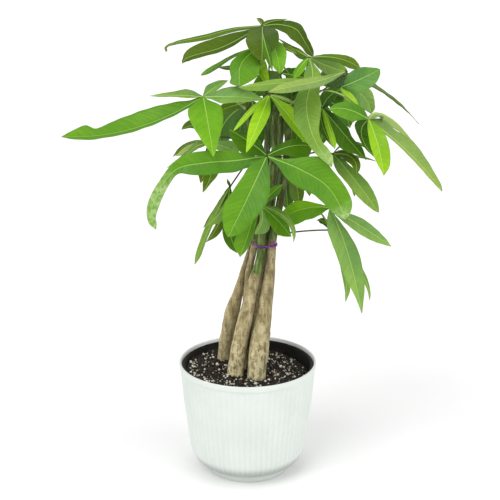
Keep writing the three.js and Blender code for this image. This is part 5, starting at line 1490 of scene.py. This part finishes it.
def leaflet(shape, hub, row, phase, seed, settings):
    """Add a leaflet's blade to the shape, with where each point lies on it."""
    places, form, turn, tone = row[:4]
    sheen_from = row[4] if len(row) > 4 else NEVER_SHEEN
    points = [seen(*place) for place in places]

    def curve(s):
        return (through_middle(hub, *points, s) if len(points) == 2
                else smooth_line([hub, *points], s))

    length = arc_lengths(curve(np.linspace(0, 1, 60)))[-1]
    rows = max(18, int(round(length / BLADE_STEP)))
    s = np.linspace(0, 1, rows + 1)
    at = curve(s)
    along = tangents(at)
    run = arc_lengths(at)
    tilt = math.radians(turn if points[-1][0] < hub[0] else -turn)
    to_eye = EYE_MM * MM - at
    to_eye -= along * np.sum(to_eye * along, 1)[:, None]
    to_eye /= np.linalg.norm(to_eye, axis=1)[:, None]
    aside = np.cross(along, to_eye)
    face = to_eye * math.cos(tilt) + aside * math.sin(tilt)
    side = np.cross(along, face)
    side /= np.linalg.norm(side, axis=1)[:, None]
    left, right = half_widths(form, tilt, s)
    width = np.max(left + right) / MM
    ripple = BROAD_WAVE * min(1, width / 30) * np.sin(BROAD_TURNS * s + phase) * MM
    ripple *= np.clip(np.sin(np.pi * s) * 2.2, 0, 1)
    small = SMALL_WAVE * min(1, width / 26) * np.sin(SMALL_TURNS * s + 3 * phase) * MM
    thick = settings.blade * (0.65 + 0.35 * np.clip((left + right) / (12 * MM), 0, 1))
    upper, under, halves = [], [], []
    for a in ACROSS:
        half = left if a < 0 else right
        halves.append(half)
        lift = BLADE_KEEL * half * abs(a) ** 1.25
        lift += -a * abs(a) * ripple + small * abs(a) ** 3
        centre = at + side * (a * half)[:, None] + face * lift[:, None]
        trim = 1 - MARGIN_TRIM * abs(a) ** 4
        rib = settings.rib * max(0.0, 1 - (abs(a) / RIB_SHARE) ** 2) * (1 - 0.7 * s)
        upper.append(centre + face * (thick * trim / 2)[:, None])
        under.append(centre - face * (thick * trim / 2 + rib)[:, None])
    columns = len(ACROSS)
    count = rows + 1
    grid = np.stack(upper, 1).reshape(-1, 3), np.stack(under, 1).reshape(-1, 3)
    faces = []
    low = count * columns
    for i in range(rows):
        for j in range(columns - 1):
            a, b = i * columns + j, i * columns + j + 1
            c, d = b + columns, a + columns
            faces.append((a, b, c, d))
            faces.append((low + d, low + c, low + b, low + a))
        for j, flip in ((0, False), (columns - 1, True)):
            a, d = i * columns + j, (i + 1) * columns + j
            quad = (a, d, low + d, low + a)
            faces.append(quad[::-1] if flip else quad)
    for j in range(columns - 1):
        a, b = j, j + 1
        faces.append((a, low + a, low + b, b))
        a, b = rows * columns + j, rows * columns + j + 1
        faces.append((a, b, low + b, low + a))
    halves = np.stack(halves, 1).reshape(-1) / MM
    share = np.stack([np.tile(ACROSS, count), np.repeat(s, columns),
                      np.full(count * columns, seed)], 1)
    size = np.stack([np.tile(ACROSS, count) * halves, np.repeat(run, columns) / MM, halves], 1)
    # Share of painted sheen along the blade.
    pale = np.clip((np.repeat(s, columns) - sheen_from) / SHEEN_BLEND, 0, 1)
    shape.add(np.vstack(grid), faces, slot=TONES.index(tone),
              leaf_share=np.vstack([share, share]), leaf_mm=np.vstack([size, size]),
              leaf_upper=np.concatenate([np.ones(low), np.zeros(low)]),
              leaf_pale=np.concatenate([pale, pale]))


class BuildFronds(bpy.types.Operator):
    """Build every frond: its petiole, its hub and its leaflets with veins"""
    bl_idname = "money_tree.fronds"
    bl_label = "Fronds"

    def execute(self, context):
        settings = context.scene.tree_foliage
        materials = [leaf_material(tone, settings) for tone in TONES]
        materials.append(petiole_material("brown_leaf_stalk", tuple(settings.petiole_colour)))
        materials.append(petiole_material("pale_leaf_stalk", tuple(settings.petiole_pale)))
        rng = random.Random(FROND_SEED)
        ball, ball_faces = crumb_ball()
        steps = np.linspace(0, 1, STALK_STEPS)
        swell = np.exp(-(steps / SWELL_REACH) ** 2) * STALK_SWELL
        for name, (stalk, hub, leaves) in FRONDS.items():
            shape = Shape()
            centre = seen(*hub)
            foot, middle = (seen(*p) for p in stalk)
            line = through_middle(foot, middle, centre, steps)
            stalk_slot = len(TONES) + (name in PALE_STALKS)
            shape.add(*limb_rings(line, settings.petiole + swell, STALK_SIDES), stalk_slot)
            shape.add(ball * HUB_REACH + centre, ball_faces, stalk_slot)
            for i, row in enumerate(leaves):
                leaflet(shape, centre, row, PHASE_STEP * i, rng.random(), settings)
            frond = shape.piece(name + "_leaves", materials)
            finish_piece(frond, FROND_SLOTS.get(name, "leaf_green"), name)
        return {"FINISHED"}


# ---------------------------------------------------------------- stage

FLOOR_SIZE, FLOOR_CELLS, FLOOR_HEIGHT = 8.0, 24, -0.0002
SENSOR_MM, FARTHEST = 36, 50
# The soft lights: place in metres and spread in degrees.
LIGHTS = {"key": ((-0.8, -1.0, 1.5), 35), "fill": ((1.2, -0.9, 1.2), 60)}


class BuildStage(bpy.types.Operator):
    """Set the pale floor, the soft studio light and the camera"""
    bl_idname = "money_tree.stage"
    bl_label = "Stage"

    def execute(self, context):
        settings = context.scene.tree_stage
        scene = context.scene
        scene.view_settings.view_transform = "Standard"
        scene.view_settings.look = "None"
        shape = Shape()
        row = FLOOR_CELLS + 1
        ticks = np.linspace(-FLOOR_SIZE, FLOOR_SIZE, row)
        shape.add([(x, y, FLOOR_HEIGHT) for y in ticks for x in ticks],
                  [(j * row + i, j * row + i + 1, (j + 1) * row + i + 1, (j + 1) * row + i)
                   for j in range(FLOOR_CELLS) for i in range(FLOOR_CELLS)])
        shape.piece("floor", [floor_material(settings)])

        world = bpy.data.worlds.new("white_room")
        world.use_nodes = True
        background = world.node_tree.nodes["Background"]
        background.inputs["Color"].default_value = (1, 1, 1, 1)
        background.inputs["Strength"].default_value = settings.world
        scene.world = world

        for name, (place, spread) in LIGHTS.items():
            light = bpy.data.lights.new(name + "_light", "SUN")
            light.angle = math.radians(spread)
            light.energy = getattr(settings, name)
            lamp = placed(name + "_light", light)
            lamp.location = place
            lamp.rotation_euler = (-lamp.location).to_track_quat("-Z", "Y").to_euler()

        camera = bpy.data.cameras.new("photo_camera")
        camera.lens = settings.focal
        camera.sensor_width = SENSOR_MM
        camera.clip_end = FARTHEST
        eye = placed("photo_camera", camera)
        eye.location = Vector(EYE_MM * MM)
        look = Vector(TARGET_MM * MM) - eye.location
        eye.rotation_euler = look.to_track_quat("-Z", "Y").to_euler()
        scene.camera = eye
        return {"FINISHED"}


# ---------------------------------------------------------------- panel and run

OPERATORS = (BuildCoverPot, BuildNurseryPot, BuildSoil, BuildTrunks, BuildTie, BuildFronds,
             BuildStage)


class MoneyTreePanel(bpy.types.Panel):
    """Lists the pieces of the money tree and what can be changed"""
    bl_idname = "VIEW3D_PT_money_tree"
    bl_label = "Money tree"
    bl_space_type = "VIEW_3D"
    bl_region_type = "UI"
    bl_category = "Money tree"

    def draw(self, context):
        for operator in OPERATORS:
            self.layout.operator(operator.bl_idname)
        for label in SETTINGS:
            box = self.layout.box()
            box.label(text=label.replace("_", " "))
            group = getattr(context.scene, label)
            for name in group.__annotations__:
                box.prop(group, name)


def register():
    for kind in (*SETTINGS.values(), *OPERATORS, MoneyTreePanel):
        bpy.utils.register_class(kind)
    for label, kind in SETTINGS.items():
        setattr(bpy.types.Scene, label, PointerProperty(type=kind))


def unregister():
    for label in SETTINGS:
        delattr(bpy.types.Scene, label)
    for kind in (MoneyTreePanel, *reversed(OPERATORS), *SETTINGS.values()):
        bpy.utils.unregister_class(kind)


def main():
    register()
    bpy.ops.money_tree.cover_pot()
    bpy.ops.money_tree.nursery_pot()
    bpy.ops.money_tree.soil()
    bpy.ops.money_tree.trunks()
    bpy.ops.money_tree.tie()
    bpy.ops.money_tree.fronds()
    bpy.ops.money_tree.stage()


if __name__ == "__main__":
    main()
